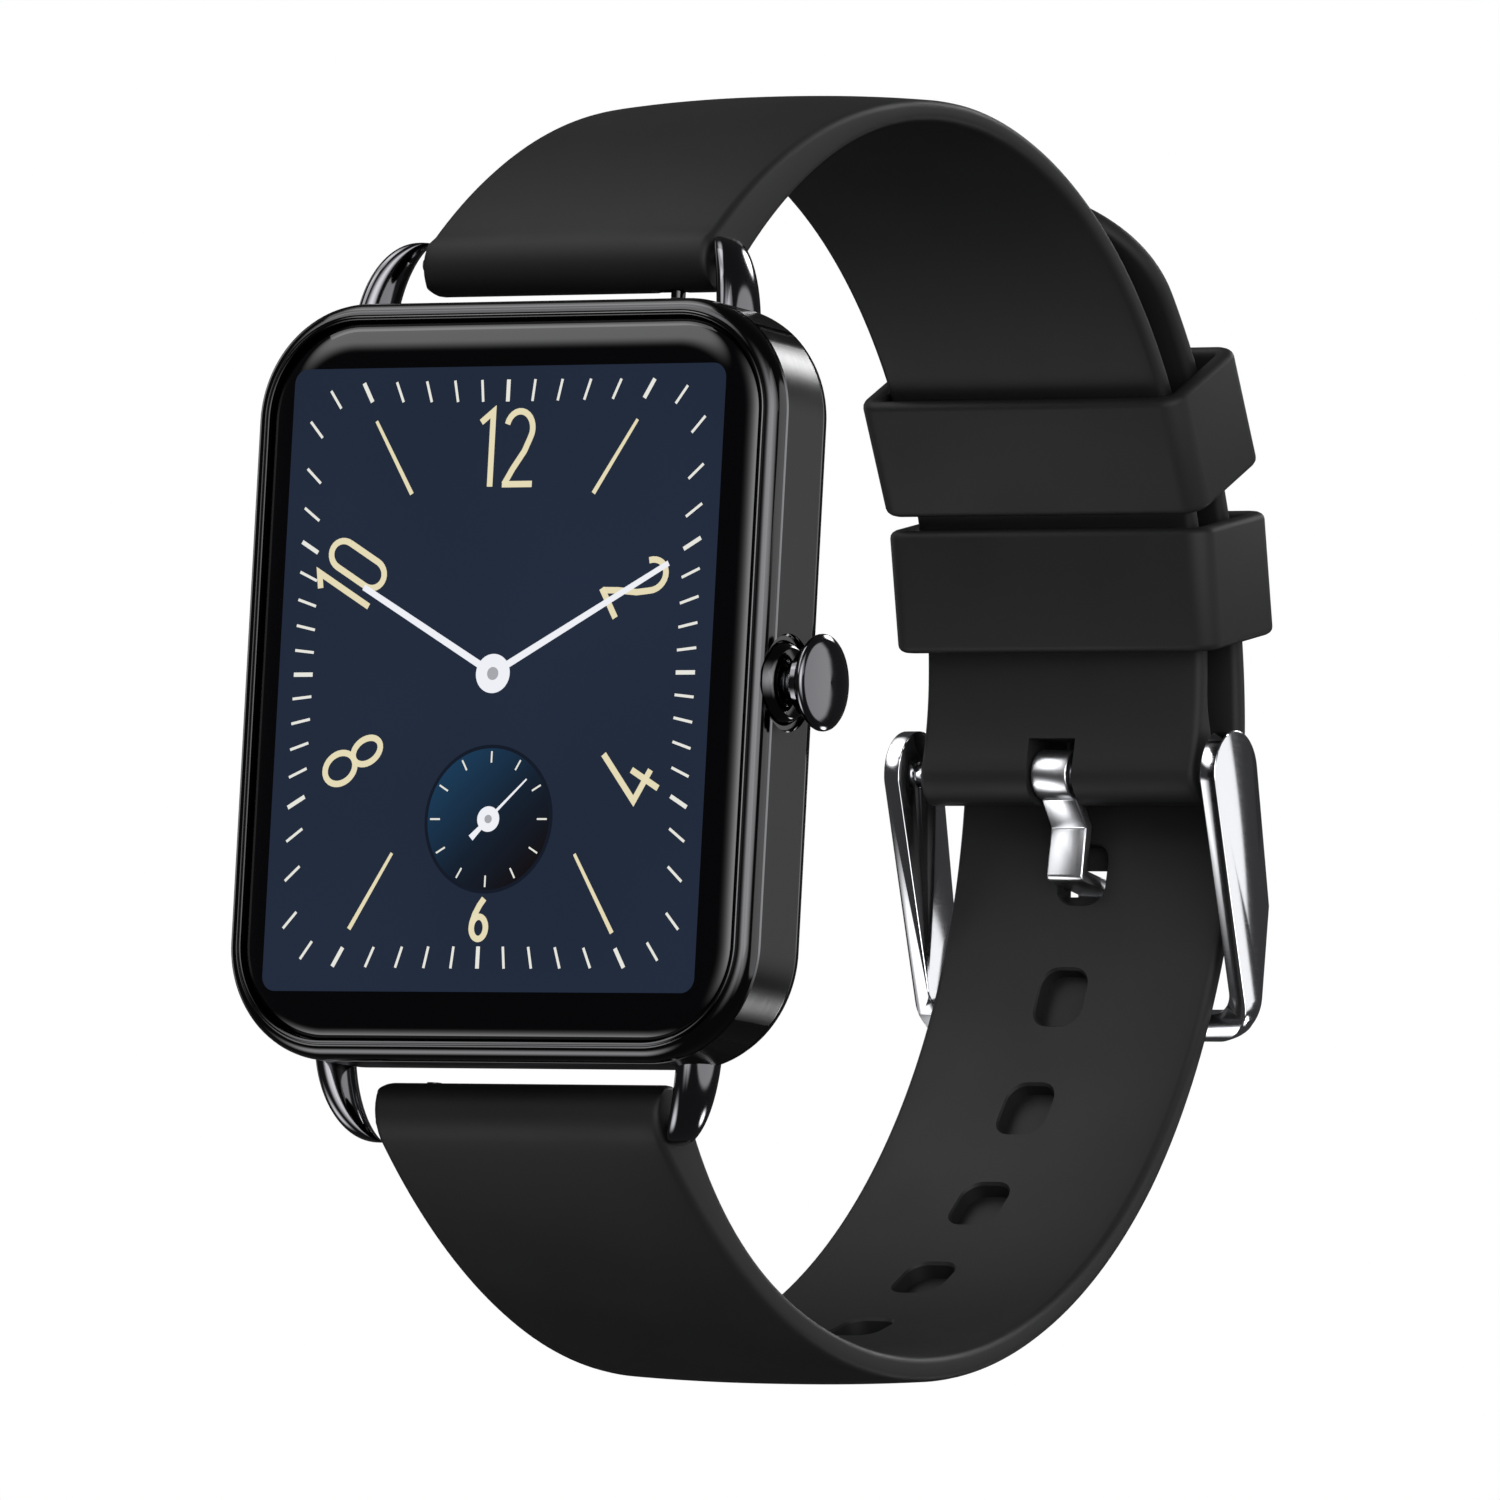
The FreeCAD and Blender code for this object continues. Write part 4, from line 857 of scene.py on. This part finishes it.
# ------------------------------------------------------------------ crown
# (outwards, radius) pairs in mm from the case's side
CROWN_HEAD = [(1.2, 0.9), (1.2, 2.0), (1.3, 2.1), (1.62, 2.12), (1.72, 2.2), (2.12, 2.78),
              (2.2, 2.88), (2.3, 2.94), (2.42, 2.95), (2.52, 2.92), (2.6, 2.84), (2.72, 2.5),
              (2.82, 2.0), (2.89, 1.4), (2.93, 0.7), (2.95, 0.02), (2.6, 0.02), (2.6, 0.9)]
CROWN_NECK = [(0.8, 1.02), (0.8, 1.4), (0.84, 1.5), (0.92, 1.55), (1.12, 1.55), (1.19, 1.5),
              (1.19, 1.02)]
CROWN_COLLAR = [(-0.8, 1.06), (0.3, 1.06), (0.35, 1.12), (0.35, 2.05), (0.28, 2.2), (0.1, 2.36),
                (-0.1, 2.5), (-0.3, 2.6), (-0.3, 1.88), (-0.8, 1.88)]


class WATCH_OT_crown(bpy.types.Operator):
    """Mushroom crown with its neck, and the collar that it presses into"""
    bl_idname = "watch.crown"
    bl_label = "Crown"

    def execute(self, context):
        at = Vector((CASE.high.x, CROWN.middle.y, CROWN.middle.z))
        for name, profile, steps, body, node, finish in (
                # the crown's head takes the lighter copy of the plating, painted brighter as a
                # highlight
                ("Crown_head", CROWN_HEAD, 128, "crown", "crown_cap", "chrome_painted_brighter"),
                ("Crown_neck_sleeve", CROWN_NECK, 96, "crown", "crown_neck", "steel"),
                ("Crown_collar_ring", CROWN_COLLAR, 96, "case", "crown_collar",
                 "black_chrome")):
            fitted(lathed(name, profile, at, steps), body, "black_chrome", node,
                   material=finish_of(finish))
        return {"FINISHED"}


# ------------------------------------------------------------------ lugs
LUG_IN = 10.3 * MM
LUG_OUT = 13.9 * MM
LUG_TIP = 10.9 * MM
LUG_ASIDE = 0.35 * MM
LUG_ROOT = 1.8 * MM
LUG_PAST_PIN = 1.35 * MM
LUG_LEAN = 1.8 * MM


def horn_rings(sx, sz):
    """Oval sections of one lug, from inside the case to its slim tip past the spring bar."""
    root, tip = CASE.high.z - LUG_ROOT, UPPER_PIN.z + LUG_PAST_PIN
    rings, rows, columns = [], 32, 40
    for step in range(rows + 1):
        # lean goes from 1 at the root to 0 at the tip
        rise = math.sin(math.radians(90 * step / rows))
        lean = math.sqrt(max(0.0, 1 - rise ** 2))
        slim = math.sqrt(lean)
        outer = LUG_TIP + (LUG_OUT - LUG_TIP) * lean - sx * LUG_ASIDE
        half_wide = (1.15 * (1 - lean) + 0.9 * lean) * (0.15 + 0.85 * slim) * MM
        half_deep = (0.12 + 1.23 * slim + 0.65 * lean) * MM
        middle = Vector((outer - half_wide, UPPER_PIN.y - LUG_LEAN * lean,
                         root + (tip - root) * rise))
        ring = []
        for i in range(columns):
            turn = FULL * i / columns
            # an oval that is blunt in front and has a tighter edge towards the wrist
            share = math.copysign(abs(math.cos(turn)) ** 0.85, math.cos(turn))
            x = middle.x + half_wide * (share + 0.16 * math.sin(turn) * abs(share))
            ring.append(Vector((sx * max(LUG_IN, x), middle.y + half_deep * math.sin(turn),
                                sz * middle.z)))
        rings.append(ring)
    return rings


class WATCH_OT_lugs(bpy.types.Operator):
    """Four oval horns that curve from the case to the spring bars"""
    bl_idname = "watch.lugs"
    bl_label = "Lugs"

    def execute(self, context):
        for end, sz in (("upper", 1), ("lower", -1)):
            for side, sx in (("right", 1), ("left", -1)):
                place = "%s_%s" % (end, side)
                # the horns take the lighter copy of the plating, painted brighter as a highlight
                horn = lofted("Horn_" + place, horn_rings(sx, sz), smooth_angle=60.0)
                fitted(horn, "case", "black_chrome", "lug_" + place,
                       material=finish_of("chrome_painted_brighter"))
        return {"FINISHED"}


# ------------------------------------------------------------------ straps
COLUMNS = 12
STEPS_ROUND = 110
HALF_WIDE = 10.15 * MM
BARREL = 2.0 * MM
BORE = 0.8
PIN_ASIDE = -0.5 * MM
UPPER_MIDDLE = hinge("keeper_upper_slide")
UPPER_IN, UPPER_OUT = 33.6 * MM, 35.4 * MM
LOWER_MIDDLE = Vector((0.0, 24.918, 1.3)) * MM
# radii of the lower band's two faces, in mm
LOWER_IN, LOWER_OUT = 39.39, 41.25
LOWER_RADIUS = LOWER_IN * MM
THICK = 1.9 * MM
END_REACH = 2.5 * MM
# the free end leaves the band's curve at one angle and ends at another
TAIL_FROM, TAIL_TIP, TAIL_SPRING, TAIL_THICK = 10.0, 57.5, 4.0 * MM, 1.86 * MM
HOLE_ANGLE, HOLE_PITCH = -8.2, 8.7 * MM
HOLE_HALF, HOLE_HALF_LONG, HOLE_CORNER = 1.7, 2.0, 1.2
NOTCH_HALF = 1.7 * MM
SLIT_HALF = 1.68 * MM
KNOB_NEAR, KNOB_FAR, KNOB_HALF, KNOB_DEEP = 5.6 * MM, 7.8 * MM, 0.6 * MM, 4 * MM


def facing(degrees):
    """Direction in the YZ plane, from the wrist side towards 12 o'clock."""
    return Vector((0.0, math.cos(math.radians(degrees)), math.sin(math.radians(degrees))))


def strap_ring(spot, away, half, half_wide=HALF_WIDE, outer_drop=0.0, inner_drop=0.0):
    """Cross-section of a strap: crowned faces and rounded sides, half as thick as asked."""
    outer_drop, inner_drop = min(outer_drop, half * 0.5), min(inner_drop, half * 0.5)
    corner = min(0.5 * MM, half_wide * 0.9, (2 * half - outer_drop - inner_drop) * 0.49)
    flat = half_wide - corner

    def face(side, drop):
        row = [(flat * i / COLUMNS,
                side * (half - drop * (flat * i / COLUMNS / half_wide) ** 2.2))
               for i in range(COLUMNS + 1)]
        edge = row[-1][1]
        return row + [(flat + corner * math.sin(turn), edge - side * corner * (1 - math.cos(turn)))
                      for turn in (FULL / 16, FULL / 8, FULL * 3 / 16, FULL / 4)]

    right = face(1, outer_drop) + face(-1, inner_drop)[::-1]
    outline = right + [(-x, z) for x, z in reversed(right[1:-1])]
    return [spot + Vector((x, 0, 0)) + away * z for x, z in outline]


def round_end(pin, away, onwards, reach=BARREL):
    """Rings from the far side of a strap's end, a given reach from its pin, up to the pin."""
    rings = []
    for step in range(1, 9):
        turn = math.radians(90 * step / 8)
        rings.append(strap_ring(pin + onwards * reach * math.cos(turn), away,
                                BARREL * math.sin(turn)))
    return rings


def between_ring(middle, degrees, inner, outer, **shape):
    """Ring on an arc, between two radii from its middle."""
    away = facing(degrees)
    return strap_ring(middle + away * (inner + outer) / 2, away, (outer - inner) / 2, **shape)


def angle_of(middle, spot):
    return math.degrees(math.atan2(spot.z - middle.z, spot.y - middle.y))


def upper_rings():
    """Upper half: from the case's spring bar, down a slim crowned band, to the buckle's bar."""
    first, last = angle_of(UPPER_MIDDLE, UPPER_PIN), angle_of(UPPER_MIDDLE, BUCKLE_PIN)
    pin_reach = (UPPER_PIN - UPPER_MIDDLE).length
    bar_reach = (BUCKLE_PIN - UPPER_MIDDLE).length
    # angles at which the outer and the inner face start to swell towards the case, the
    # inner face's span, and the span of the swelling at the buckle
    outer_from, inner_from, inner_span, buckle_span = 92, 120, 24, 9
    rings = round_end(UPPER_PIN, facing(first), facing(first + 90))
    for step in range(1, STEPS_ROUND + 1):
        turn = first + (last - first) * step / STEPS_ROUND
        high = max(0.0, (turn - outer_from) / (first - outer_from))
        near = max(0.0, (turn - inner_from) / inner_span)
        low = max(0.0, 1 - (turn - last) / buckle_span)
        inner = UPPER_IN + (pin_reach - BARREL - UPPER_IN) * near ** 2 \
            + (bar_reach - BARREL - UPPER_IN) * low ** 2
        outer = UPPER_OUT + (pin_reach + BARREL - UPPER_OUT) * high ** 2 \
            + (bar_reach + BARREL - UPPER_OUT) * low ** 2
        rings.append(between_ring(UPPER_MIDDLE, turn, inner, outer,
                                  outer_drop=(0.6 - 0.4 * high) * MM * (1 - low),
                                  inner_drop=0.06 * MM * (1 - low)))
    return rings + round_end(BUCKLE_PIN, facing(last), facing(last - 90))[::-1]


def lower_rings():
    """Lower half: from the case's spring bar, round the wrist, to the rounded free end."""
    first = angle_of(LOWER_MIDDLE, LOWER_PIN)
    pin_reach = (LOWER_PIN - LOWER_MIDDLE).length
    # angles before which the band swells towards the case, and its outer face is proud
    swell_to, proud_to = -108, -20
    outer_drop, inner_drop = 0.3 * MM, 0.26 * MM
    rings = round_end(LOWER_PIN, facing(first), facing(first - 90), END_REACH)
    for step in range(1, STEPS_ROUND + 1):
        turn = first + (TAIL_FROM - first) * step / STEPS_ROUND
        near = max(0.0, (turn - swell_to) / (first - swell_to)) ** 2.4 if turn < swell_to else 0.0
        inner = LOWER_RADIUS + (pin_reach - BARREL - LOWER_RADIUS) * near
        face = LOWER_OUT * MM + 0.25 * MM * min(1.0, max(0.0, (proud_to - turn) / 20))
        outer = face + (pin_reach + BARREL - face) * near
        rings.append(between_ring(LOWER_MIDDLE, turn, inner, outer,
                                  outer_drop=outer_drop * (1 - near),
                                  inner_drop=inner_drop * (1 - near)))
    # the free end lies on a wider curve and ends in a half circle
    middle = LOWER_MIDDLE - facing(TAIL_FROM) * TAIL_SPRING
    radius = LOWER_RADIUS + TAIL_SPRING
    straight = (radius + THICK / 2) * math.radians(TAIL_TIP - TAIL_FROM) - HALF_WIDE
    places = [straight * i / 30 for i in range(1, 31)]
    places += [straight + HALF_WIDE * math.sin(math.radians(3 * i)) for i in range(1, 30)]
    for place in places:
        past = max(0.0, place - straight)
        slim = 1 - 0.25 * (past / HALF_WIDE) ** 3
        turn = TAIL_FROM + math.degrees(place / (radius + THICK / 2))
        rings.append(between_ring(middle, turn, radius, radius + TAIL_THICK * slim,
                                  half_wide=math.sqrt(HALF_WIDE ** 2 - past ** 2),
                                  outer_drop=outer_drop, inner_drop=inner_drop))
    return rings


def bored(name, spot):
    """Cutter for a spring bar's bore."""
    return lathed(name, [(-14.0, 0.0), (-14.0, BORE), (14.0, BORE), (14.0, 0.0)], spot, 32)


def slab(name, low, high):
    """Cutter between two corners, in metres."""
    spots = [(x, y, z) for x in (low[0], high[0]) for y in (low[1], high[1])
             for z in (low[2], high[2])]
    return new_mesh(name, spots, [(0, 1, 3, 2), (4, 6, 7, 5), (0, 4, 5, 1), (2, 3, 7, 6),
                                  (0, 2, 6, 4), (1, 5, 7, 3)])


def hole_cutter(name, degrees, layers):
    """Rounded slot across the lower strap from (radius, growth) layers in mm."""
    away, along = facing(degrees), facing(degrees + 90)
    rings = []
    for reach, grow in layers:
        outline = rounded_ring((HOLE_HALF + grow) * MM, (HOLE_HALF_LONG + grow) * MM,
                               (HOLE_CORNER + grow) * MM, 6)
        rings.append([LOWER_MIDDLE + Vector((PIN_ASIDE + x, 0, 0)) + away * reach * MM + along * z
                      for x, z in outline])
    return lofted(name, rings)


class WATCH_OT_straps(bpy.types.Operator):
    """Both halves of the silicone strap, with their holes, bores and knob slots"""
    bl_idname = "watch.straps"
    bl_label = "Straps"

    def execute(self, context):
        silicone = finish_of("silicone")
        pin, bar = UPPER_PIN, BUCKLE_PIN
        strap = lofted("Strap_upper", upper_rings(), smooth_angle=50.0)
        notch = slab("Notch", (PIN_ASIDE - NOTCH_HALF, bar.y - 8 * MM, bar.z - 6 * MM),
                     (PIN_ASIDE + NOTCH_HALF, bar.y + 8 * MM, bar.z + 2.2 * MM))
        knob = slab("Knob slot", (KNOB_NEAR, pin.y - KNOB_HALF, pin.z - KNOB_DEEP),
                    (KNOB_FAR, pin.y + KNOB_HALF, pin.z))
        carved(strap, [bored("Bore", pin), bored("Bar bore", bar), notch, knob])
        fitted(strap, "upper_strap", "strap_rubber", "upper_strap", material=silicone)

        pin = LOWER_PIN
        strap = lofted("Strap_lower", lower_rings(), smooth_angle=50.0)
        knob = slab("Knob slot", (-KNOB_FAR, pin.y - KNOB_HALF, pin.z),
                    (-KNOB_NEAR, pin.y + KNOB_HALF, pin.z + KNOB_DEEP))
        cutters = [bored("Bore", pin), knob]
        pitch = math.degrees(HOLE_PITCH / (LOWER_RADIUS + THICK / 2))
        for i in range(-5, 3):
            degrees = HOLE_ANGLE + i * pitch
            # each hole is cut as two recesses with a thin silicone sheet left between them; the
            # real holes go through, and the sheet stands in for the shade deep inside them
            cutters.append(hole_cutter("Hole", degrees, [
                (LOWER_IN - 0.6, 0.5), (LOWER_IN + 0.15, 0.0), (LOWER_OUT - 0.75, 0.0)]))
            cutters.append(hole_cutter("Hole", degrees, [
                (LOWER_OUT - 0.35, 0.0), (LOWER_OUT - 0.12, 0.0), (LOWER_OUT + 0.6, 0.5)]))
        # the tongue's hole has that sheet, the stand-in for its shade, slit open where the tongue
        # passes
        slit = LOWER_MIDDLE + facing(HOLE_ANGLE) * (LOWER_RADIUS + THICK / 2)
        cutters.append(slab("Slit", (PIN_ASIDE - SLIT_HALF, slit.y - 2 * MM, slit.z - 1.3 * MM),
                            (PIN_ASIDE + SLIT_HALF, slit.y + 2 * MM, slit.z + 0.45 * MM)))
        carved(strap, cutters)
        fitted(strap, "lower_strap", "strap_rubber", "lower_strap", material=silicone)
        return {"FINISHED"}


# each keeper's angle on the strap's curve
KEEPERS = (("keeper_upper", 30.4), ("keeper_lower", 14.6))


def keeper_section(half_long, wall, soft):
    """Section of a keeper's wall: outer face, rim, inner face, rim, as (inset, place) pairs."""
    section = []
    for inset, place, start in ((soft, half_long - soft, 90), (wall - soft, half_long - soft, 0),
                                (wall - soft, soft - half_long, 270),
                                (soft, soft - half_long, 180)):
        for step in range(5):
            turn = math.radians(start - 22.5 * step + 90)
            section.append((inset + soft * math.cos(turn), place + soft * math.sin(turn)))
    return section


class WATCH_OT_keepers(bpy.types.Operator):
    """Two free silicone loops with rounded rims"""
    bl_idname = "watch.keepers"
    bl_label = "Keepers"

    def execute(self, context):
        wall, flank, soft, corner = 1.05 * MM, 1.3 * MM, 0.5 * MM, 1.5 * MM
        for node, degrees in KEEPERS:
            away, along = facing(degrees), facing(degrees + 90)
            spots = [vertex.co - UPPER_MIDDLE for vertex in frame["nodes"][node].data.vertices]
            low, high = min(p.dot(away) for p in spots), max(p.dot(away) for p in spots)
            half_wide, half_long = max(p.x for p in spots), max(p.dot(along) for p in spots)
            rings = []
            for inset, place in keeper_section(half_long, wall, soft):
                outline = rounded_ring(half_wide - inset * flank / wall, (high - low) / 2 - inset,
                                       max(corner - inset, soft / 2), 8)
                rings.append([UPPER_MIDDLE + Vector((x, 0, 0)) + away * ((high + low) / 2 + z)
                              + along * place for x, z in outline])
            loop = lofted("Loop_" + node, rings, closed_rings=True, smooth_angle=50.0)
            fitted(loop, node, "strap_rubber", node, material=finish_of("silicone"))
        return {"FINISHED"}


# ------------------------------------------------------------------ buckle
class WATCH_OT_buckle(bpy.types.Operator):
    """Polished buckle frame and its tongue"""
    bl_idname = "watch.buckle"
    bl_label = "Buckle"

    def execute(self, context):
        plates = softened(node_copy("Buckle_plates", "buckle_frame"), 0.16 * MM, 25.0)
        fitted(plates, "buckle", "buckle_steel", "buckle_frame", material=finish_of("steel"))
        pin = softened(node_copy("Buckle_pin", "buckle_tongue"), 0.12 * MM, 35.0)
        fitted(pin, "tongue", "buckle_steel", "buckle_tongue", material=finish_of("brushed"))
        return {"FINISHED"}


# ------------------------------------------------------------------ spring bars
class WATCH_OT_springs(bpy.types.Operator):
    """Wound coils inside the quick-release spring bars"""
    bl_idname = "watch.springs"
    bl_label = "Spring coils"

    def execute(self, context):
        tree = coil_tree("Spring coil")
        turns, wire = float(context.scene.watch_sizes.coil_turns), 0.09 * MM
        for end in ("upper", "lower"):
            node = end + "_bar_spring"
            place = Place(node)
            seed = linked("Coil_" + end, bpy.data.meshes.new("Coil_" + end))
            coil = grown(seed, tree, Turns=turns, Radius=place.size.z / 2 - wire,
                         Length=place.size.x - 2 * wire, Wire=wire,
                         Place=(place.low.x + wire, place.middle.y, place.middle.z),
                         Finish=finish_of("turned"))
            fitted(coil, end + "_strap", "small_steel", node)
        return {"FINISHED"}


# ------------------------------------------------------------------ back
class WATCH_OT_back(bpy.types.Operator):
    """Four receiver windows on the sensor lens"""
    bl_idname = "watch.back"
    bl_label = "Back details"

    def execute(self, context):
        reach = 4.6 * MM
        spots = []
        for i in range(4):
            turn = FULL * (i + 0.5) / 4
            spots.append((reach * math.sin(turn), WINDOW.high.y + 0.01 * MM,
                          reach * math.cos(turn), turn, 1.0))
        receivers = marks("Light_receivers", spots, 2.0 * MM, 2.6 * MM, 0.04 * MM,
                          finish_of("panel"))
        fitted(receivers, "case", "sensor_gloss")
        return {"FINISHED"}


# ------------------------------------------------------------------ CAD nodes that stay
KEPT = {
    "seal": ["glass_gasket", "back_seal", "crown_seal"],
    "panel": ["display_panel"],
    "back": ["back_cover"],
    "sensor": ["sensor_window"],
    "gold": ["charging_contacts"],
    "alloy": ["chassis_plate"],
    "foil": ["battery"],
    "board": ["main_board", "sensor_board"],
    "resin": ["board_chips", "speaker_module", "crown_plunger", "crown_switch"],
    "turned": ["cover_screws", "vibration_motor", "alignment_magnets", "crown_shaft",
               "upper_bar_tube", "upper_bar_fixed_pin", "lower_bar_tube", "lower_bar_fixed_pin"],
    "black_chrome": ["upper_release_pin", "lower_release_pin"],
    "steel": ["buckle_bar"],
}


class WATCH_OT_kept(bpy.types.Operator):
    """Finishes of the CAD pieces that are shown as they are"""
    bl_idname = "watch.kept"
    bl_label = "Inner and small pieces"

    def execute(self, context):
        for finish, nodes in KEPT.items():
            for node in nodes:
                thing = frame["nodes"][node]
                for slot in thing.material_slots:
                    slot.material = finish_of(finish)
                if not thing.material_slots:
                    thing.data.materials.append(finish_of(finish))
        return {"FINISHED"}


# ------------------------------------------------------------------ stage
# the product view: turn, tip and roll in degrees, then how far the watch lies across,
# up and away from the camera in mm, and the focal length in mm
VIEW_TURN, VIEW_TIP, VIEW_ROLL = 30.6, -5.44, 3.03
VIEW_ACROSS, VIEW_UP, VIEW_AWAY = -15.37, 4.66, 1000.0
FOCAL = 394.8
FLOOR_DROP = 0.16


def camera_place():
    """Camera matrix for the product view: turned, tipped and rolled about the dial's centre."""
    turn, tip, roll = (math.radians(angle) for angle in (VIEW_TURN, VIEW_TIP, VIEW_ROLL))
    right = Vector((math.cos(turn), math.sin(turn), 0.0))
    ahead = Vector((-math.sin(turn) * math.cos(tip), math.cos(turn) * math.cos(tip),
                    -math.sin(tip)))
    up = right.cross(ahead)
    across = right * math.cos(roll) + up * math.sin(roll)
    upright = up * math.cos(roll) - right * math.sin(roll)
    matrix = Matrix((across, upright, -ahead)).transposed().to_4x4()
    matrix.translation = Vector((0.0, CASE.low.y - 0.1 * MM, 0.3 * MM)) \
        - (across * VIEW_ACROSS + upright * VIEW_UP + ahead * VIEW_AWAY) * MM
    return matrix


def soft_light(name, spot, aim, wide, tall, power):
    """Large area light that faces a point."""
    lamp = bpy.data.lights.new(name, "AREA")
    lamp.shape = "RECTANGLE"
    lamp.size, lamp.size_y = wide, tall
    lamp.energy = power
    made = linked(name, lamp)
    made.location = spot
    made.rotation_euler = (Vector(aim) - Vector(spot)).to_track_quat("-Z", "Z").to_euler()


def plain_paper():
    # matte studio paper: evenly pale, with a fibre grain too fine to read as a pattern
    material, tree, shader = surface("Studio paper, floor", Base_Color=linear("#f2f2f2"),
                                     Roughness=0.9, Emission_Color=linear("#ffffff"),
                                     Emission_Strength=0.25)
    bumped(tree, shader, noise(tree, 0.8, 2.0), 0.02 * MM, 0.2)
    return material


# soft panels of the studio: direction, half width and half height (as sines), edge softness
# from 0 to 1, and brightness
PANELS = [
    ((0.79, 0.61, 0.1), 0.42, 0.4, 0.15, 1.35),
    ((0.17, 0.86, 0.49), 0.2, 0.17, 0.9, 22.0),
    ((0.34, 0.86, -0.39), 0.16, 0.12, 0.9, 12.0),
    ((0.93, -0.36, 0.1), 0.36, 0.7, 0.5, 1.6),
    ((0.6, -0.8, 0.1), 0.74, 0.75, 1.0, 4.5),
    ((-0.5, -0.72, 0.5), 0.36, 0.36, 0.5, 2.6),
    ((-0.45, -0.1, 0.89), 0.5, 0.3, 0.7, 2.4),
    ((-0.93, 0.3, 0.2), 0.3, 0.5, 0.8, 1.2),
    ((-0.55, -0.42, -0.72), 0.5, 0.5, 0.9, 4.0),
]
# a colour Mix node's two colour inputs and its output are reached by their numbers
MIX_A, MIX_B, MIX_OUT = 6, 7, 2


def soft_panel(tree, glow, direction, half_wide, half_tall, softness, power):
    """Adds a soft-edged bright panel in a direction to the glow of the room."""
    ahead = Vector(direction).normalized()
    across = ahead.cross(Vector((0, 0, 1))).normalized()
    upright = across.cross(ahead)
    way = add_node(tree, "ShaderNodeTexCoord").outputs["Generated"]
    parts = [add_node(tree, "ShaderNodeVectorMath", {0: way, 1: axis / reach},
                      operation="DOT_PRODUCT").outputs["Value"]
             for axis, reach in ((across, half_wide), (upright, half_tall), (ahead, 1.0))]
    offset = add_node(tree, "ShaderNodeCombineXYZ", {"X": parts[0], "Y": parts[1]})
    away = add_node(tree, "ShaderNodeVectorMath", {0: offset.outputs["Vector"]},
                    operation="LENGTH")
    edge = add_node(tree, "ShaderNodeMapRange", {
        "Value": away.outputs["Value"], "From Min": 1.0, "From Max": 1.0 - softness,
        "To Max": power}, interpolation_type="SMOOTHSTEP")
    front = add_node(tree, "ShaderNodeMath", {0: parts[2], 1: 0.0}, operation="GREATER_THAN")
    lit_side = add_node(tree, "ShaderNodeMath", {0: edge.outputs["Result"],
                                                 1: front.outputs["Value"]}, operation="MULTIPLY")
    total = add_node(tree, "ShaderNodeMix", {"Factor": 1.0, MIX_A: glow,
                                             MIX_B: lit_side.outputs["Value"]},
                     data_type="RGBA", blend_type="ADD")
    return total.outputs[MIX_OUT]


class WATCH_OT_stage(bpy.types.Operator):
    """Pale floor and backdrop, soft lights and the camera"""
    bl_idname = "watch.stage"
    bl_label = "Stage"

    def execute(self, context):
        scene = context.scene
        scene.view_settings.view_transform = "Standard"
        floor_z = CAD_BOX[0].z - FLOOR_DROP
        corners = [(x, y, floor_z) for x, y in ((-0.6, -0.5), (0.6, -0.5), (0.6, 0.7),
                                                (-0.6, 0.7))]
        floor = new_mesh("Floor", corners, [(0, 1, 2, 3)])
        floor.data.materials.append(plain_paper())
        floor.visible_glossy = False

        world = bpy.data.worlds.new("Studio")
        world.use_nodes = True
        tree = world.node_tree
        background = tree.nodes["Background"]
        # white behind the watch for the camera; for reflections a dim room with soft panels
        path = add_node(tree, "ShaderNodeLightPath")
        glow = linear("#3c3c3e")
        for panel in PANELS:
            glow = soft_panel(tree, glow, *panel)
        room = add_node(tree, "ShaderNodeMix", {"Factor": path.outputs["Is Camera Ray"],
                                                MIX_A: glow, MIX_B: linear("#ffffff")},
                        data_type="RGBA")
        tree.links.new(room.outputs[MIX_OUT], background.inputs["Color"])
        background.inputs["Strength"].default_value = 1.0
        scene.world = world

        aim = (0.0, 0.02, 0.0)
        soft_light("Key, upper left", (-0.45, -0.35, 0.75), aim, 0.6, 0.6, 2.2)
        soft_light("Fill, right", (0.85, -0.35, 0.3), aim, 0.6, 0.9, 1.6)

        lens = bpy.data.cameras.new("Product camera")
        lens.sensor_width = 36.0
        lens.lens = FOCAL
        lens.clip_start, lens.clip_end = 0.01, 20.0
        camera = linked("Product camera", lens)
        camera.matrix_world = camera_place()
        scene.camera = camera
        return {"FINISHED"}


# ------------------------------------------------------------------ panel and registration
STEPS = [WATCH_OT_case, WATCH_OT_glass, WATCH_OT_dial, WATCH_OT_hands, WATCH_OT_crown,
         WATCH_OT_lugs, WATCH_OT_straps, WATCH_OT_keepers, WATCH_OT_buckle, WATCH_OT_springs,
         WATCH_OT_back, WATCH_OT_kept, WATCH_OT_stage]


class WATCH_PT_panel(bpy.types.Panel):
    """Lists the watch's sizes, colours and building steps"""
    bl_idname = "WATCH_PT_panel"
    bl_label = "Smartwatch"
    bl_space_type = "VIEW_3D"
    bl_region_type = "UI"
    bl_category = "Smartwatch"

    def draw(self, context):
        layout = self.layout
        for group in (context.scene.watch_sizes, context.scene.watch_looks):
            for name in type(group).__annotations__:
                layout.prop(group, name)
        for step in STEPS:
            layout.operator(step.bl_idname)


CLASSES = [WatchSizes, WatchLooks] + STEPS + [WATCH_PT_panel]


def register():
    for cls in CLASSES:
        bpy.utils.register_class(cls)
    bpy.types.Scene.watch_sizes = PointerProperty(type=WatchSizes)
    bpy.types.Scene.watch_looks = PointerProperty(type=WatchLooks)


def unregister():
    del bpy.types.Scene.watch_looks
    del bpy.types.Scene.watch_sizes
    for cls in reversed(CLASSES):
        bpy.utils.unregister_class(cls)


def main():
    register()
    for step in STEPS:
        group, name = step.bl_idname.split(".")
        getattr(getattr(bpy.ops, group), name)()


if __name__ == "__main__":
    main()
